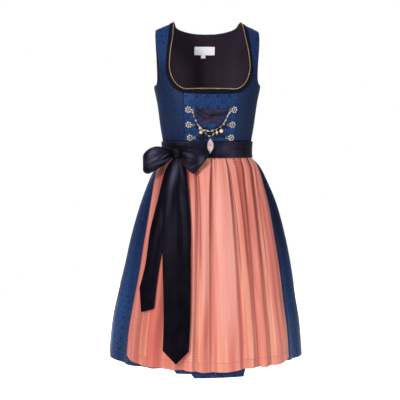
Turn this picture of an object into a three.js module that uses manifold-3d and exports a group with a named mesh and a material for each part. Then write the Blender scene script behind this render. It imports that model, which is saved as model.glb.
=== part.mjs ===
// A dirndl, filled out as it is worn: a laced bodice with a velvet neck border, a full skirt, and an
// apron whose satin ties make a bow. Millimetres, +Z up, the front faces -Y and the wearer's left is +X.
// The origin lies midway between the tops of the shoulder straps, where the wearer's shoulders carry it.
import * as THREE from 'three';
import { mergeGeometries, mergeVertices } from 'three/addons/utils/BufferGeometryUtils.js';
import Module from 'manifold-3d';

const wasm = await Module();
wasm.setup();

// ---------------------------------------------------------------- driving sizes
const SEAM = 0.3; // gap left between two pieces that are sewn together
const LIE = 1; // gap under a trim that lies on a panel, and between crossing ribbons
const CLOTH = 1.5; // wall of the bodice and skirt cloth
const SATIN = 1.2; // wall of the apron and its ribbons
const ROUNDNESS = 2.3; // power of the rounded-square plan of the body, 2 would be an ellipse

const WAIST_Z = -355; // seam between bodice and skirt
const BAND_TOP_Z = -356; // upper edge of the apron's waistband
const BAND_FOOT_Z = -404; // and its lower edge
const TIE_FOOT_Z = -397; // lower edge of the tie round the back
const BAND_GAP = 2.6; // the waistband stands clear of the apron's gathers under it
const BAND_WALL = 2;

const BUST = { drop: 240, depth: 118 }; // fullest line of the front, below the shoulders
const BLADES = { drop: 140, depth: 98 }; // fullest line of the back
const WAIST_DEPTH = { front: 92, back: 88 };
const RIDGE_RISE = 16; // the shoulder line would stand this far above the strap tops at the neck
const RIDGE_FALL = 41; // and falls this far by the shoulder's end
const RIDGE_HALF = 160;
const LEVEL_DROP = 200; // below this depth the rows round the body are level

const table = (columns, rows) => {
  const names = columns.split(' ');
  return rows.map((row) => Object.fromEntries(names.map((name, i) => [name, row[i]])));
};

// Half the bodice's width at each depth below the shoulders.
const BODICE_WIDTH = table('drop half', [
  [0, 178], [100, 170], [192, 162], [240, 152.5], [312, 143], [355, 136.5], [400, 134.5],
]);

// Half widths and depths of the skirt and of the waist under the band.
const SKIRT_FORM = table('z left right front back', [
  [-355, 136.5, 136.5, 92, 88],
  [-380, 134.5, 134.5, 91, 87],
  [-402, 135.5, 136, 92, 88],
  [-414, 142, 145, 97, 93],
  [-432, 155, 161, 105, 101],
  [-467, 174, 180, 121, 116],
  [-544, 204, 213, 150, 143],
  [-644, 234, 240, 178, 170],
  [-735, 255, 258, 196, 188],
  [-832, 279, 272, 212, 204],
  [-906, 295, 284, 222, 214],
  [-1021, 308, 294, 234, 226],
]);

// Lower edge of the skirt by the turn round the body in degrees: 0 is the wearer's left side, 90 the
// front, 270 the back. The front hangs in a broad box pleat with a narrower layer beside it.
const SKIRT_HEM = table('turn z', [
  [0, -1011], [30, -1008], [44, -998], [54, -994], [75, -994], [76.5, -1021], [98.5, -1021],
  [100, -1009], [107.5, -1009], [109, -1000], [130, -1001], [150, -1003], [180, -1000],
  [225, -1010], [270, -1014], [315, -1012], [360, -1011],
]);
const PLEAT_TURNS = [75, 76.5, 98.5, 100, 107.5, 109];

// Soft folds of the skirt: where each one's line runs, half its width in degrees, and how far it stands
// out at the hem. Under the apron they only sink in.
const SKIRT_FOLDS = table('turn reach rise', [
  [17, 11, 5], [31, 8, -9], [58, 10, -12], [69, 7, -14], [116, 8, -12], [129, 9, -8], [149, 8, -7],
  [163, 9, 5], [190, 10, -8], [203, 10, 10], [217, 9, -7], [229, 9, 12], [243, 10, -9], [256, 9, 9],
  [270, 8, -11], [283, 9, 10], [297, 10, -9], [310, 9, 12], [324, 10, -8], [338, 9, 9], [350, 7, -6],
]);

// Fold lines of the apron from the wearer's right edge to the left one: where each starts under the
// waistband and ends at the hem, how far it stands off the skirt there, and the hem's height.
const APRON_FOLDS = table('topX hemX topOut hemOut hemZ', [
  [-139, -246, 0, 1, -973],
  [-131, -226, 1, 7, -985],
  [-121, -203, 0, 2, -993],
  [-107, -174, 2, 11, -997],
  [-92, -146, 0, 3, -996],
  [-77, -116, 2, 13, -996],
  [-63, -84, 0, 3, -999],
  [-53, -54, 2, 13, -1003],
  [-43, -31, 0, 5, -1002],
  [-18, -10, 3, 14, -1001],
  [6, 17, 0, 0, -1000],
  [24, 50, 3, 13, -1002],
  [48, 73, 0, 4, -998],
  [66, 91, 3, 12, -993],
  [92, 106, 0, 1, -994],
  [102, 131, 2, 12, -996],
  [111, 153, 0, 4, -998],
  [118, 168, 2, 10, -999],
  [124, 182, 0, 4, -1000],
  [130, 207, 1, 8, -999],
  [135, 230, 0, 1, -988],
]);
const APRON_SETTLE = 75; // how fast a fold line takes its own course below the band
const FLARE_LEVELS = [-392, -403, -412, -424, -442, -478, -540]; // rows shared by the skirt and apron
const LOWER_LEVELS = [0.26, 0.55, 0.8, 1]; // rows from there to the hem, as shares of what is left

// Neck opening from the strap's top to the centre front: the braid's edge and the velvet's outer edge.
const NECK_SIDE = table('edgeX edgeZ velvetX velvetZ', [
  [100, 0, 110.5, -3.5],
  [105.6, -46, 119, -46],
  [114.5, -102, 125.5, -101],
  [116, -145, 128, -148],
  [104, -180, 117, -186],
  [80, -201, 90, -211],
]);
const NECK_FRONT = table('edgeX edgeZ velvetX velvetZ', [
  [80, -201, 90, -211],
  [40, -202.5, 45, -217.5],
  [0, -202.5, 0, -218],
]);
const NECK_BACK = table('edgeX edgeZ velvetX velvetZ', [
  [100, 0, 110.5, -3.5],
  [92, -11, 103, -20],
  [70, -19, 77, -33],
  [35, -24.5, 38, -40],
  [0, -26, 0, -42],
]);
const ARMHOLE_FRONT = [[157, -24], [155, -62], [150, -105], [146.5, -150], [146.5, -171], [150, -183]];
const ARMHOLE_BACK_UPPER = [[157, -24], [156, -60], [153, -105]];
const ARMHOLE_BACK_LOWER = [[153, -105], [151, -150], [152, -175], [156, -187]];
const UNDERARM_Z = -192;
const PRINCESS = [[80, -201], [78.5, -245], [76, -312], [75, WAIST_Z]];
const BACK_SEAM = [[153, -105], [128, -145], [98, -205], [72, -285], [60, WAIST_Z]];

const VELVET = 1.5;
const BRAID = { wide: 3.4, wall: 1.2 };
const LINING = { gap: 1.6, wall: 1 };
const LABEL_GAP = 1.5; // gap between the lining and the label stitched to it
const LABEL = { left: -32.7, right: 32.5, top: -58, foot: -84, wall: 1 };
const SIZE_TAB = { left: -11, right: 3, foot: -94 };

// ---------------------------------------------------------------- small helpers
const lerp = (a, b, t) => a + (b - a) * t;
const smooth = (t) => {
  const s = Math.min(Math.max(t, 0), 1);
  return s * s * (3 - 2 * s);
};
const degrees = (a) => (a * 180) / Math.PI;
const radians = (a) => (a * Math.PI) / 180;

// Reads one column of a table at a place between its rows, as a smooth curve or in straight steps.
function read(rows, key, column, at, straight = false) {
  const falling = rows[rows.length - 1][key] < rows[0][key];
  const before = (row) => (falling ? row[key] > at : row[key] < at);
  let i = rows.findIndex((row) => !before(row));
  if (i === 0) return rows[0][column];
  if (i < 0) return rows[rows.length - 1][column];
  i -= 1;
  const slope = (j) => {
    const a = rows[Math.max(j - 1, 0)];
    const b = rows[Math.min(j + 1, rows.length - 1)];
    return (b[column] - a[column]) / (b[key] - a[key]);
  };
  const [p, q] = [rows[i], rows[i + 1]];
  const span = q[key] - p[key];
  const t = (at - p[key]) / span;
  if (straight) return lerp(p[column], q[column], t);
  const keep = (1 + 2 * t) * (1 - t) ** 2;
  const lead = t * (1 - t) ** 2 * span;
  const tail = t * t * (t - 1) * span;
  return keep * p[column] + (1 - keep) * q[column] + lead * slope(i) + tail * slope(i + 1);
}

// ---------------------------------------------------------------- the body's form
// Depth of the bodice's front or back at a depth below the shoulders: a quarter of an ellipse down to the
// fullest line, then a soft run in to the waist.
function bodiceDepth(side, drop) {
  const full = side === 'front' ? BUST : BLADES;
  if (drop < full.drop) return full.depth * Math.sqrt(1 - (1 - drop / full.drop) ** 2);
  const t = smooth((drop - full.drop) / (-WAIST_Z - full.drop));
  return lerp(full.depth, WAIST_DEPTH[side], t);
}

const ridgeHeight = (x, drop) => {
  const ridge = RIDGE_RISE - RIDGE_FALL * (x / RIDGE_HALF) ** 2;
  return ridge * (1 - smooth(drop / LEVEL_DROP));
};

const planX = (turn) => Math.sign(Math.cos(turn)) * Math.abs(Math.cos(turn)) ** (2 / ROUNDNESS);
const planY = (turn) => -Math.sign(Math.sin(turn)) * Math.abs(Math.sin(turn)) ** (2 / ROUNDNESS);
const turnOf = (ratio, side) => {
  const bounded = Math.min(Math.abs(ratio), 1) ** (ROUNDNESS / 2);
  const turn = Math.acos(Math.sign(ratio) * bounded);
  return side === 'front' ? turn : 2 * Math.PI - turn;
};

// Length of cloth from the shoulder line down to each depth, so that rows can be spaced along the cloth.
const RUN_STEPS = 240;
const LOWEST_DROP = 420;
const runs = Object.fromEntries(['front', 'back'].map((side) => {
  const rows = [{ drop: 0, run: 0 }];
  for (let i = 1; i <= RUN_STEPS; i += 1) {
    const drop = LOWEST_DROP * (i / RUN_STEPS) ** 2;
    const last = rows[i - 1];
    const out = bodiceDepth(side, drop) - bodiceDepth(side, last.drop);
    rows.push({ drop, run: last.run + Math.hypot(drop - last.drop, out) });
  }
  return [side, rows];
}));

function bodicePoint(side, turn, run) {
  const drop = read(runs[side], 'run', 'drop', run, true);
  const x = read(BODICE_WIDTH, 'drop', 'half', drop) * planX(turn);
  const y = bodiceDepth(side, drop) * planY(turn);
  return new THREE.Vector3(x, y, ridgeHeight(x, drop) - drop);
}

// Where a point, given by its sideways and height sizes, lies on the bodice's cloth.
function onBodice(side, x, z) {
  let drop = -z;
  for (let i = 0; i < 12; i += 1) drop = Math.max(ridgeHeight(x, drop) - z, 0);
  const turn = turnOf(x / read(BODICE_WIDTH, 'drop', 'half', drop), side);
  return { turn, run: read(runs[side], 'drop', 'run', drop, true) };
}

// The cloth's outer face and its outward direction there.
function bodiceFrame(side, { turn, run }) {
  const step = 0.004;
  const point = bodicePoint(side, turn, run);
  const across = bodicePoint(side, turn + step, run).sub(bodicePoint(side, turn - step, run));
  const down = bodicePoint(side, turn, run + 0.6).sub(bodicePoint(side, turn, Math.max(run - 0.6, 0)));
  const normal = across.cross(down).normalize();
  const outward = new THREE.Vector3(point.x, point.y, 60);
  if (normal.dot(outward) < 0) normal.negate();
  return { point, normal };
}

const liftedBodice = (side, x, z, lift) => {
  const { point, normal } = bodiceFrame(side, onBodice(side, x, z));
  return point.addScaledVector(normal, lift);
};

// ---------------------------------------------------------------- walls from grids of points
// A closed wall between two grids of points of the same size, with its four rims.
function wall(outer, inner) {
  const rows = outer.length;
  const columns = outer[0].length;
  const points = [...outer.flat(), ...inner.flat()];
  const at = (face, i, j) => face * rows * columns + i * columns + j;
  const index = [];
  const quad = (a, b, c, d) => index.push(a, b, c, a, c, d);
  for (let i = 0; i < rows - 1; i += 1) {
    for (let j = 0; j < columns - 1; j += 1) {
      quad(at(0, i, j), at(0, i + 1, j), at(0, i + 1, j + 1), at(0, i, j + 1));
      const back = [at(1, i, j), at(1, i + 1, j), at(1, i + 1, j + 1), at(1, i, j + 1)];
      index.push(back[0], back[2], back[1], back[0], back[3], back[2]);
    }
  }
  const rim = [];
  for (let j = 0; j < columns - 1; j += 1) rim.push([0, j]);
  for (let i = 0; i < rows - 1; i += 1) rim.push([i, columns - 1]);
  for (let j = columns - 1; j > 0; j -= 1) rim.push([rows - 1, j]);
  for (let i = rows - 1; i > 0; i -= 1) rim.push([i, 0]);
  rim.forEach(([i, j], k) => {
    const [m, n] = rim[(k + 1) % rim.length];
    quad(at(0, i, j), at(0, m, n), at(1, m, n), at(1, i, j));
  });
  const geometry = new THREE.BufferGeometry();
  geometry.setAttribute('position', new THREE.Float32BufferAttribute(points.flatMap((p) => p.toArray()), 3));
  geometry.setIndex(index);
  return facingOut(geometry);
}

// Turns a closed mesh the right way round, by the sign of its volume.
function facingOut(geometry) {
  const position = geometry.getAttribute('position');
  const index = geometry.getIndex().array;
  const [a, b, c] = [new THREE.Vector3(), new THREE.Vector3(), new THREE.Vector3()];
  let volume = 0;
  for (let i = 0; i < index.length; i += 3) {
    a.fromBufferAttribute(position, index[i]);
    b.fromBufferAttribute(position, index[i + 1]);
    c.fromBufferAttribute(position, index[i + 2]);
    volume += a.dot(b.cross(c));
  }
  if (volume < 0) {
    for (let i = 0; i < index.length; i += 3) [index[i], index[i + 1]] = [index[i + 1], index[i]];
  }
  return geometry;
}

// A run of cloth places through the given places, spaced evenly or closer together at its start.
function path(side, places, count, crowd = 1) {
  const scale = 150; // millimetres of cloth to a radian, so that both directions count alike
  const knots = places.map((place) => {
    const { turn, run } = Array.isArray(place) ? onBodice(side, ...place) : place;
    return new THREE.Vector3(turn * scale, run, 0);
  });
  const curve = new THREE.CatmullRomCurve3(knots);
  return Array.from({ length: count + 1 }, (_, i) => {
    const at = curve.getPointAt((i / count) ** crowd);
    return { turn: at.x / scale, run: at.y };
  });
}

const joined = (...parts) => parts.flatMap((part, i) => (i ? part.slice(1) : part));
const mirrored = (places) => places.map(({ turn, run }) => {
  const flipped = Math.PI - turn;
  return { turn: flipped < 0 ? flipped + 2 * Math.PI : flipped, run };
});

// Fills the cloth between four edges; each pair of opposite edges has the same count.
function fill(top, foot, left, right) {
  const mix = (key, i, j) => {
    const u = j / (top.length - 1);
    const v = i / (left.length - 1);
    const edges = lerp(top[j][key], foot[j][key], v) + lerp(left[i][key], right[i][key], u);
    const corners = lerp(
      lerp(top[0][key], top[top.length - 1][key], u),
      lerp(foot[0][key], foot[foot.length - 1][key], u),
      v,
    );
    return edges - corners;
  };
  return left.map((_, i) => top.map((__, j) => ({ turn: mix('turn', i, j), run: mix('run', i, j) })));
}

// Gives places on the bodice a wall whose outer face is lifted off the cloth's own outer face.
function bodiceWall(side, places, lift, thick) {
  const frames = places.map((row) => row.map((place) => bodiceFrame(side, place)));
  const face = (out) => frames.map((row) => row.map(({ point, normal }) => {
    return point.clone().addScaledVector(normal, out);
  }));
  return wall(face(lift), face(lift - thick));
}

// ---------------------------------------------------------------- the bodice's panels
const half = SEAM / 2;
const NECK_ROWS = 11;
const CROWD = 1.3; // rows lie closer together over the shoulder
const PANEL_COLUMNS = 7;

const sideTurn = (side, drop) => {
  const out = (half / bodiceDepth(side, drop)) ** (ROUNDNESS / 2);
  return side === 'front' ? Math.asin(out) : 2 * Math.PI - Math.asin(out);
};
const sidePlace = (side, z) => {
  const drop = -z + (z > -LEVEL_DROP ? ridgeHeight(read(BODICE_WIDTH, 'drop', 'half', -z), -z) : 0);
  return { turn: sideTurn(side, drop), run: read(runs[side], 'drop', 'run', drop, true) };
};
const shoulder = (side, x) => ({ turn: turnOf(x / BODICE_WIDTH[0].half, side), run: half });
const waistPlace = (side, x) => onBodice(side, x, WAIST_Z + half);
const inset = (points, by) => points.map(([x, z]) => [x + by, z]);
// Moves places sideways over the cloth, so that two panels can share a seam's line.
const shifted = (side, places, by) => places.map(({ turn, run }) => {
  const step = 0.004;
  const ahead = bodicePoint(side, turn + step, run).x - bodicePoint(side, turn - step, run).x;
  return { turn: turn + (by * 2 * step) / ahead, run };
});
const BACK_SEAM_ROWS = 7;
const backSeam = () => path('back', BACK_SEAM, BACK_SEAM_ROWS);
const neckEdge = (rows) => rows.map(({ edgeX, edgeZ }) => [edgeX, edgeZ]);

// The left front side panel, with its strap: neck edge and princess seam inside, armhole and side outside.
function frontSidePanel() {
  const neck = path('front', [shoulder('front', 100), ...neckEdge(NECK_SIDE).slice(1)], NECK_ROWS, CROWD);
  const princess = path('front', inset(PRINCESS, half), 7);
  princess[0] = neck[NECK_ROWS];
  princess[7] = waistPlace('front', PRINCESS[3][0] + half);
  const underarm = sidePlace('front', UNDERARM_Z);
  const armhole = path(
    'front',
    [shoulder('front', 157), ...ARMHOLE_FRONT.slice(1), underarm],
    NECK_ROWS,
    CROWD,
  );
  const side = path('front', [underarm, sidePlace('front', -270), sidePlace('front', WAIST_Z + half)], 7);
  const top = path('front', [shoulder('front', 100), shoulder('front', 157)], PANEL_COLUMNS);
  const foot = path('front', [princess[7], side[7]], PANEL_COLUMNS);
  return fill(top, foot, joined(neck, princess), joined(armhole, side));
}

function frontCentrePanel() {
  const rows = 7;
  const columns = 10;
  const right = path('front', inset(PRINCESS, -half), rows);
  right[rows] = waistPlace('front', PRINCESS[3][0] - half);
  const left = mirrored(right);
  const neck = [[-40, -202.5], [0, -202.5], [40, -202.5]];
  const top = path('front', [left[0], ...neck, right[0]], columns);
  const foot = path('front', [left[rows], waistPlace('front', 0), right[rows]], columns);
  return fill(top, foot, left, right);
}

function backCentrePanel() {
  const neckCells = 6;
  const strapCells = 3;
  const upper = 6;
  const lower = BACK_SEAM_ROWS;
  const neck = path('back', [shoulder('back', 100), ...neckEdge(NECK_BACK).slice(1)], neckCells, CROWD);
  const strap = path('back', [shoulder('back', 157), shoulder('back', 100)], strapCells);
  const topHalf = joined(strap, neck).reverse();
  const armhole = path('back', [shoulder('back', 157), ...ARMHOLE_BACK_UPPER.slice(1)], upper, CROWD);
  const seam = shifted('back', backSeam(), -half);
  armhole[upper] = seam[0];
  seam[lower] = waistPlace('back', BACK_SEAM[4][0] - half);
  const right = joined(armhole, seam);
  const left = mirrored(right);
  const top = joined(mirrored(topHalf).reverse(), topHalf);
  const cells = 2 * (neckCells + strapCells);
  const foot = path('back', [left[upper + lower], waistPlace('back', 0), right[upper + lower]], cells);
  return fill(top, foot, left, right);
}

function backSidePanel() {
  const rows = BACK_SEAM_ROWS;
  const seam = shifted('back', backSeam(), 1.5 * half);
  seam[rows] = waistPlace('back', BACK_SEAM[4][0] + half);
  const underarm = sidePlace('back', UNDERARM_Z);
  const side = path('back', [underarm, sidePlace('back', -270), sidePlace('back', WAIST_Z + half)], rows);
  const top = path('back', [seam[0], ...ARMHOLE_BACK_LOWER.slice(1), underarm], PANEL_COLUMNS);
  const foot = path('back', [seam[rows], side[rows]], PANEL_COLUMNS);
  return fill(top, foot, seam, side);
}

// A strip along the neck: its rows follow the panels' own rows, from the edge out to the given share of
// the way to the velvet's outer edge.
function neckStrip(side, rows, cells, crowd, from, to) {
  const pick = (share) => rows.map(({ edgeX, edgeZ, velvetX, velvetZ }, i) => {
    const x = lerp(edgeX, velvetX, share);
    return i === 0 && edgeZ === 0 ? shoulder(side, x) : [x, lerp(edgeZ, velvetZ, share)];
  });
  return [path(side, pick(from), cells, crowd), path(side, pick(to), cells, crowd)];
}

function neckPlaces(side, share) {
  if (side === 'back') {
    const halfStrip = neckStrip('back', NECK_BACK, 8, CROWD, 0, share);
    return halfStrip.map((line) => joined(mirrored(line), [...line].reverse()));
  }
  const sideStrip = neckStrip('front', NECK_SIDE, NECK_ROWS, CROWD, 0, share);
  const frontStrip = neckStrip('front', NECK_FRONT, 5, 1, 0, share);
  return sideStrip.map((line, i) => {
    const right = joined(line, frontStrip[i]);
    return joined(mirrored(right), [...right].reverse());
  });
}

const VELVET_WIDE = 15; // nominal width that turns the braid's width into a share of the velvet
const velvetGrid = (side) => neckPlaces(side, 1);
const braidGrid = (side) => neckPlaces(side, BRAID.wide / VELVET_WIDE);

function backLining() {
  const rows = 8;
  const columns = 8;
  const armhole = [...ARMHOLE_BACK_UPPER.slice(1), ...ARMHOLE_BACK_LOWER.slice(1)];
  const underarm = sidePlace('back', UNDERARM_Z);
  const edge = path('back', [shoulder('back', 155), ...armhole, underarm], rows, CROWD);
  const side = path('back', [underarm, sidePlace('back', -270), sidePlace('back', WAIST_Z + half)], 4);
  const right = joined(edge, side);
  const neck = path('back', [shoulder('back', 102), ...neckEdge(NECK_BACK).slice(1)], 6, CROWD);
  const strap = path('back', [shoulder('back', 155), shoulder('back', 102)], columns - 6);
  const topHalf = joined(strap, neck).reverse();
  const left = mirrored(right);
  const top = joined(mirrored(topHalf).reverse(), topHalf);
  const foot = path('back', [left[rows + 4], waistPlace('back', 0), right[rows + 4]], 2 * columns);
  return fill(top, foot, left, right);
}

// A flat tab on the bodice's inside back, given by its edges.
function insideTab(left, right, top, foot, lift, wallThick) {
  const columns = 4;
  const row = (z) => path('back', [[left, z], [(left + right) / 2, z], [right, z]], columns);
  return bodiceWall('back', [row(top), row((top + foot) / 2), row(foot)], lift, wallThick);
}

// ---------------------------------------------------------------- skirt, apron and waistband
const sideOf = (turn) => (Math.sin(turn) >= 0 ? 'front' : 'back');
const skirtHalf = (turn, z) => read(SKIRT_FORM, 'z', Math.cos(turn) < 0 ? 'left' : 'right', z);

function skirtPoint(turn, z, out) {
  const bare = (a) => new THREE.Vector3(
    skirtHalf(a, z) * planX(a),
    read(SKIRT_FORM, 'z', sideOf(a), z) * planY(a),
    z,
  );
  const along = bare(turn + 0.004).sub(bare(turn - 0.004));
  const normal = new THREE.Vector3(-along.y, along.x, 0).normalize();
  const point = bare(turn);
  if (normal.x * point.x + normal.y * point.y < 0) normal.negate();
  return point.addScaledVector(normal, out);
}

// Folds start under the waistband and grow to their full depth near the hem.
const FOLD_START_Z = -404;
const FOLD_FULL_Z = -940;
const foldGrowth = (z) => {
  const t = Math.min(Math.max((FOLD_START_Z - z) / (FOLD_START_Z - FOLD_FULL_Z), 0), 1);
  return 0.12 * Math.min(t * 20, 1) + 0.88 * t ** 0.9;
};

function skirtFold(turn, z) {
  const at = (degrees(turn) + 360) % 360;
  const sum = SKIRT_FOLDS.reduce((total, fold) => {
    const away = Math.abs(((at - fold.turn + 540) % 360) - 180) / fold.reach;
    return total + (away < 1 ? fold.rise * Math.cos((away * Math.PI) / 2) ** 2 : 0);
  }, 0);
  const inPleat = at > PLEAT_TURNS[1] - 0.1 && at < PLEAT_TURNS[2] + 0.1;
  return inPleat ? 0 : sum * foldGrowth(z);
}

const levelsTo = (hem) => {
  const last = FLARE_LEVELS[FLARE_LEVELS.length - 1];
  return [...FLARE_LEVELS, ...LOWER_LEVELS.map((share) => lerp(last, hem, share))];
};

function skirtWall(turns) {
  const levels = (turn) => {
    const hem = read(SKIRT_HEM, 'turn', 'z', degrees(turn), true);
    return [WAIST_Z - half, ...levelsTo(hem)];
  };
  const face = (inwards) => turns.map((turn) => levels(turn).map((z) => {
    return skirtPoint(turn, z, skirtFold(turn, z) - inwards);
  }));
  return wall(face(0), face(CLOTH));
}

const sideGap = 0.0009; // radians kept off the side seam by either half of the skirt
const spread = (from, to, count) => Array.from({ length: count + 1 }, (_, i) => lerp(from, to, i / count));
const frontTurns = () => {
  const even = spread(0, 180, 30).filter((a) => PLEAT_TURNS.every((b) => Math.abs(a - b) > 1));
  const turns = [...even, ...PLEAT_TURNS].sort((a, b) => a - b).map(radians);
  turns[0] += sideGap;
  turns[turns.length - 1] -= sideGap;
  return turns;
};
const backTurns = () => {
  const turns = spread(180, 360, 30).map(radians);
  turns[0] += sideGap;
  turns[turns.length - 1] -= sideGap;
  return turns;
};

const APRON_OFF = 0.8; // gap between the apron and the skirt it lies on, at the band
const APRON_LOW_OFF = 2; // and lower down, where the folds of both meet

function apronStation(fold, z) {
  const reach = Math.max(BAND_FOOT_Z - z, 0);
  const course = 1 - Math.exp(-reach / APRON_SETTLE);
  const topTurn = turnOf(fold.topX / 140, 'front');
  const hemHalf = skirtHalf(topTurn, fold.hemZ);
  const turn = lerp(topTurn, turnOf(fold.hemX / hemHalf, 'front'), course);
  const grown = lerp(fold.topOut, fold.hemOut, smooth(reach / 520) ** 0.8) * (1 - Math.exp(-reach / 14));
  const off = lerp(APRON_OFF, APRON_LOW_OFF, smooth(reach / 60));
  return { turn, out: off + grown };
}

function apronWall() {
  const lines = APRON_FOLDS.flatMap((fold, i) => {
    const next = APRON_FOLDS[i + 1];
    if (!next) return [fold];
    const middle = Object.fromEntries(Object.keys(fold).map((key) => [key, (fold[key] + next[key]) / 2]));
    return [fold, middle];
  });
  const face = (thick) => lines.map((line) => levelsTo(line.hemZ).map((z) => {
    const { turn, out } = apronStation(line, z);
    return skirtPoint(turn, z, out + thick);
  }));
  return wall(face(SATIN), face(0));
}

// Waistband in front and the tie that goes on round the back: rings a little proud of the waist.
const BAND_CELLS = 26;
function bandWall(fromTurn, toTurn, footZ, gap) {
  const turns = spread(fromTurn, toTurn, BAND_CELLS).map(radians);
  const heights = [BAND_TOP_Z, (BAND_TOP_Z + footZ) / 2, footZ];
  const face = (out) => turns.map((turn) => heights.map((z) => skirtPoint(turn, z, out)));
  return wall(face(gap + BAND_WALL), face(gap));
}

// ---------------------------------------------------------------- bow and tails
const RIBBON_LIFT = 1; // clearance of a tail over the apron's crests
const KNOT = { x: -100, z: -389, wide: 25, tall: 30, deep: 20 };

// How far the apron's crests stand off the skirt at a height, for what hangs in front of it.
const crestOut = (z) => {
  const reach = Math.max(BAND_FOOT_Z - z, 0);
  const crest = lerp(3, 14, smooth(reach / 520) ** 0.8) + APRON_LOW_OFF + SATIN;
  return Math.max(crest, BAND_GAP + BAND_WALL);
};

// A point in front of the skirt at a sideways place and a height.
function beforeSkirt(x, z, out) {
  let ratio = x / (read(SKIRT_FORM, 'z', x < 0 ? 'left' : 'right', z) + out);
  ratio = Math.max(Math.min(ratio, 0.995), -0.995);
  return skirtPoint(turnOf(ratio, 'front'), z, out);
}

const LONG_TAIL = table('z left right', [
  [-403.6, -108, -87],
  [-419, -114, -84],
  [-436, -122, -75],
  [-475, -137, -71],
  [-538, -145, -67],
  [-602, -146.5, -65],
  [-669, -148, -67],
  [-839, -147, -71],
  [-938, -151, -77],
]);
const LONG_TIP = { x: -114, z: -976 };
const SHORT_TAIL = table('z left right', [
  [-399.6, -106, -89],
  [-425, -124, -98],
  [-447, -136, -106],
  [-525, -157, -118],
  [-611, -180, -137],
  [-707, -195, -156],
  [-775, -213, -167],
]);
const SHORT_TIP = { left: [-209, -840], right: [-173, -826] };

// Thickness round a sheet of points, measured along its own normals.
function sheetWall(points, thick) {
  const normalAt = (i, j) => {
    const row = (k) => points[Math.min(Math.max(k, 0), points.length - 1)];
    const cell = (k, l) => row(k)[Math.min(Math.max(l, 0), row(k).length - 1)];
    const u = cell(i + 1, j).clone().sub(cell(i - 1, j));
    const v = cell(i, j + 1).clone().sub(cell(i, j - 1));
    return u.cross(v).normalize();
  };
  const face = (out) => points.map((row, i) => row.map((p, j) => {
    return p.clone().addScaledVector(normalAt(i, j), out);
  }));
  return wall(face(thick / 2), face(-thick / 2));
}

function tailWall(rows, foot, lift, levels) {
  const columns = 5;
  const line = (leftPoint, rightPoint) => spread(0, 1, columns).map((t) => {
    const x = lerp(leftPoint[0], rightPoint[0], t);
    const z = lerp(leftPoint[1], rightPoint[1], t);
    return beforeSkirt(x, z, crestOut(z) + lift);
  });
  const top = rows[0].z;
  const low = rows[rows.length - 1].z;
  const body = levels.map((level) => {
    const z = lerp(top, low, level);
    return line([read(rows, 'z', 'left', z), z], [read(rows, 'z', 'right', z), z]);
  });
  const last = spread(0, 1, columns).map((t) => {
    const { x, z } = foot(t);
    return beforeSkirt(x, z, crestOut(z) + lift);
  });
  return sheetWall([...body, last], SATIN);
}

// The long tail ends in a point; the short one in a slanted cut.
const longFoot = (t) => {
  const low = LONG_TAIL[LONG_TAIL.length - 1];
  const tip = (LONG_TIP.x - low.left) / (low.right - low.left);
  const share = t < tip ? t / tip : (1 - t) / (1 - tip);
  return { x: lerp(low.left, low.right, t), z: lerp(low.z - 1, LONG_TIP.z, share) };
};
const shortFoot = (t) => ({
  x: lerp(SHORT_TIP.left[0], SHORT_TIP.right[0], t),
  z: lerp(SHORT_TIP.left[1], SHORT_TIP.right[1], t),
});

// A bow loop is one ribbon that runs out from the knot, turns back at its tip and returns behind itself.
// Its rows go from the tip to the knot: the ribbon's middle, half its height, and the two layers' places.
const LEFT_LOOP = table('x z tall front back', [
  [-196, -411, 22, -83, -83],
  [-193, -411, 26, -90, -77],
  [-180, -408, 34, -99, -71],
  [-160, -399, 31, -103, -72],
  [-137, -393, 23, -103, -78],
  [-109.2, -389.5, 9, -91, -84],
]);
const RIGHT_LOOP = table('x z tall front back', [
  [-4, -388, 3, -117, -117],
  [-10, -392, 9, -121, -114],
  [-29, -401, 23, -128, -113],
  [-52, -407, 33, -129, -113],
  [-74, -402, 24, -121, -106],
  [-84.3, -390.5, 9, -96, -88],
]);

function loopWall(rows) {
  const there = rows.map((row) => ({ ...row, y: row.front }));
  const back = rows.slice(1).map((row) => ({ ...row, y: row.back }));
  const line = [...there.reverse(), ...back];
  const curve = new THREE.CatmullRomCurve3(line.map(({ x, y, z }) => new THREE.Vector3(x, y, z)));
  const talls = new THREE.CatmullRomCurve3(line.map(({ tall }, i) => new THREE.Vector3(i, tall, 0)));
  const cells = 18;
  const points = spread(0, 1, cells).map((t) => {
    const middle = curve.getPoint(t);
    const tall = talls.getPoint(t).y;
    return spread(-1, 1, 3).map((v) => {
      const bulge = 1 - 0.06 * v * v; // the ribbon's edges draw in a little
      return new THREE.Vector3(middle.x, middle.y * bulge - 0.06 * v * v * 90, middle.z + tall * v);
    });
  });
  return sheetWall(points, SATIN);
}

// ---------------------------------------------------------------- metalwork
const merged = (geometry) => {
  const bare = geometry.index ? geometry.toNonIndexed() : geometry.clone();
  bare.deleteAttribute('normal');
  bare.deleteAttribute('uv');
  return mergeVertices(bare, 1e-4);
};

function solid(geometry) {
  const closed = facingOut(merged(geometry));
  return new wasm.Manifold(new wasm.Mesh({
    numProp: 3,
    vertProperties: new Float32Array(closed.getAttribute('position').array),
    triVerts: new Uint32Array(closed.getIndex().array),
  }));
}

function fromSolid(body) {
  const mesh = body.getMesh();
  const geometry = new THREE.BufferGeometry();
  geometry.setAttribute('position', new THREE.Float32BufferAttribute(mesh.vertProperties, 3));
  geometry.setIndex(Array.from(mesh.triVerts));
  return geometry;
}

const fused = (...geometries) => {
  return fromSolid(geometries.map(solid).reduce((whole, piece) => whole.add(piece)));
};

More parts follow.
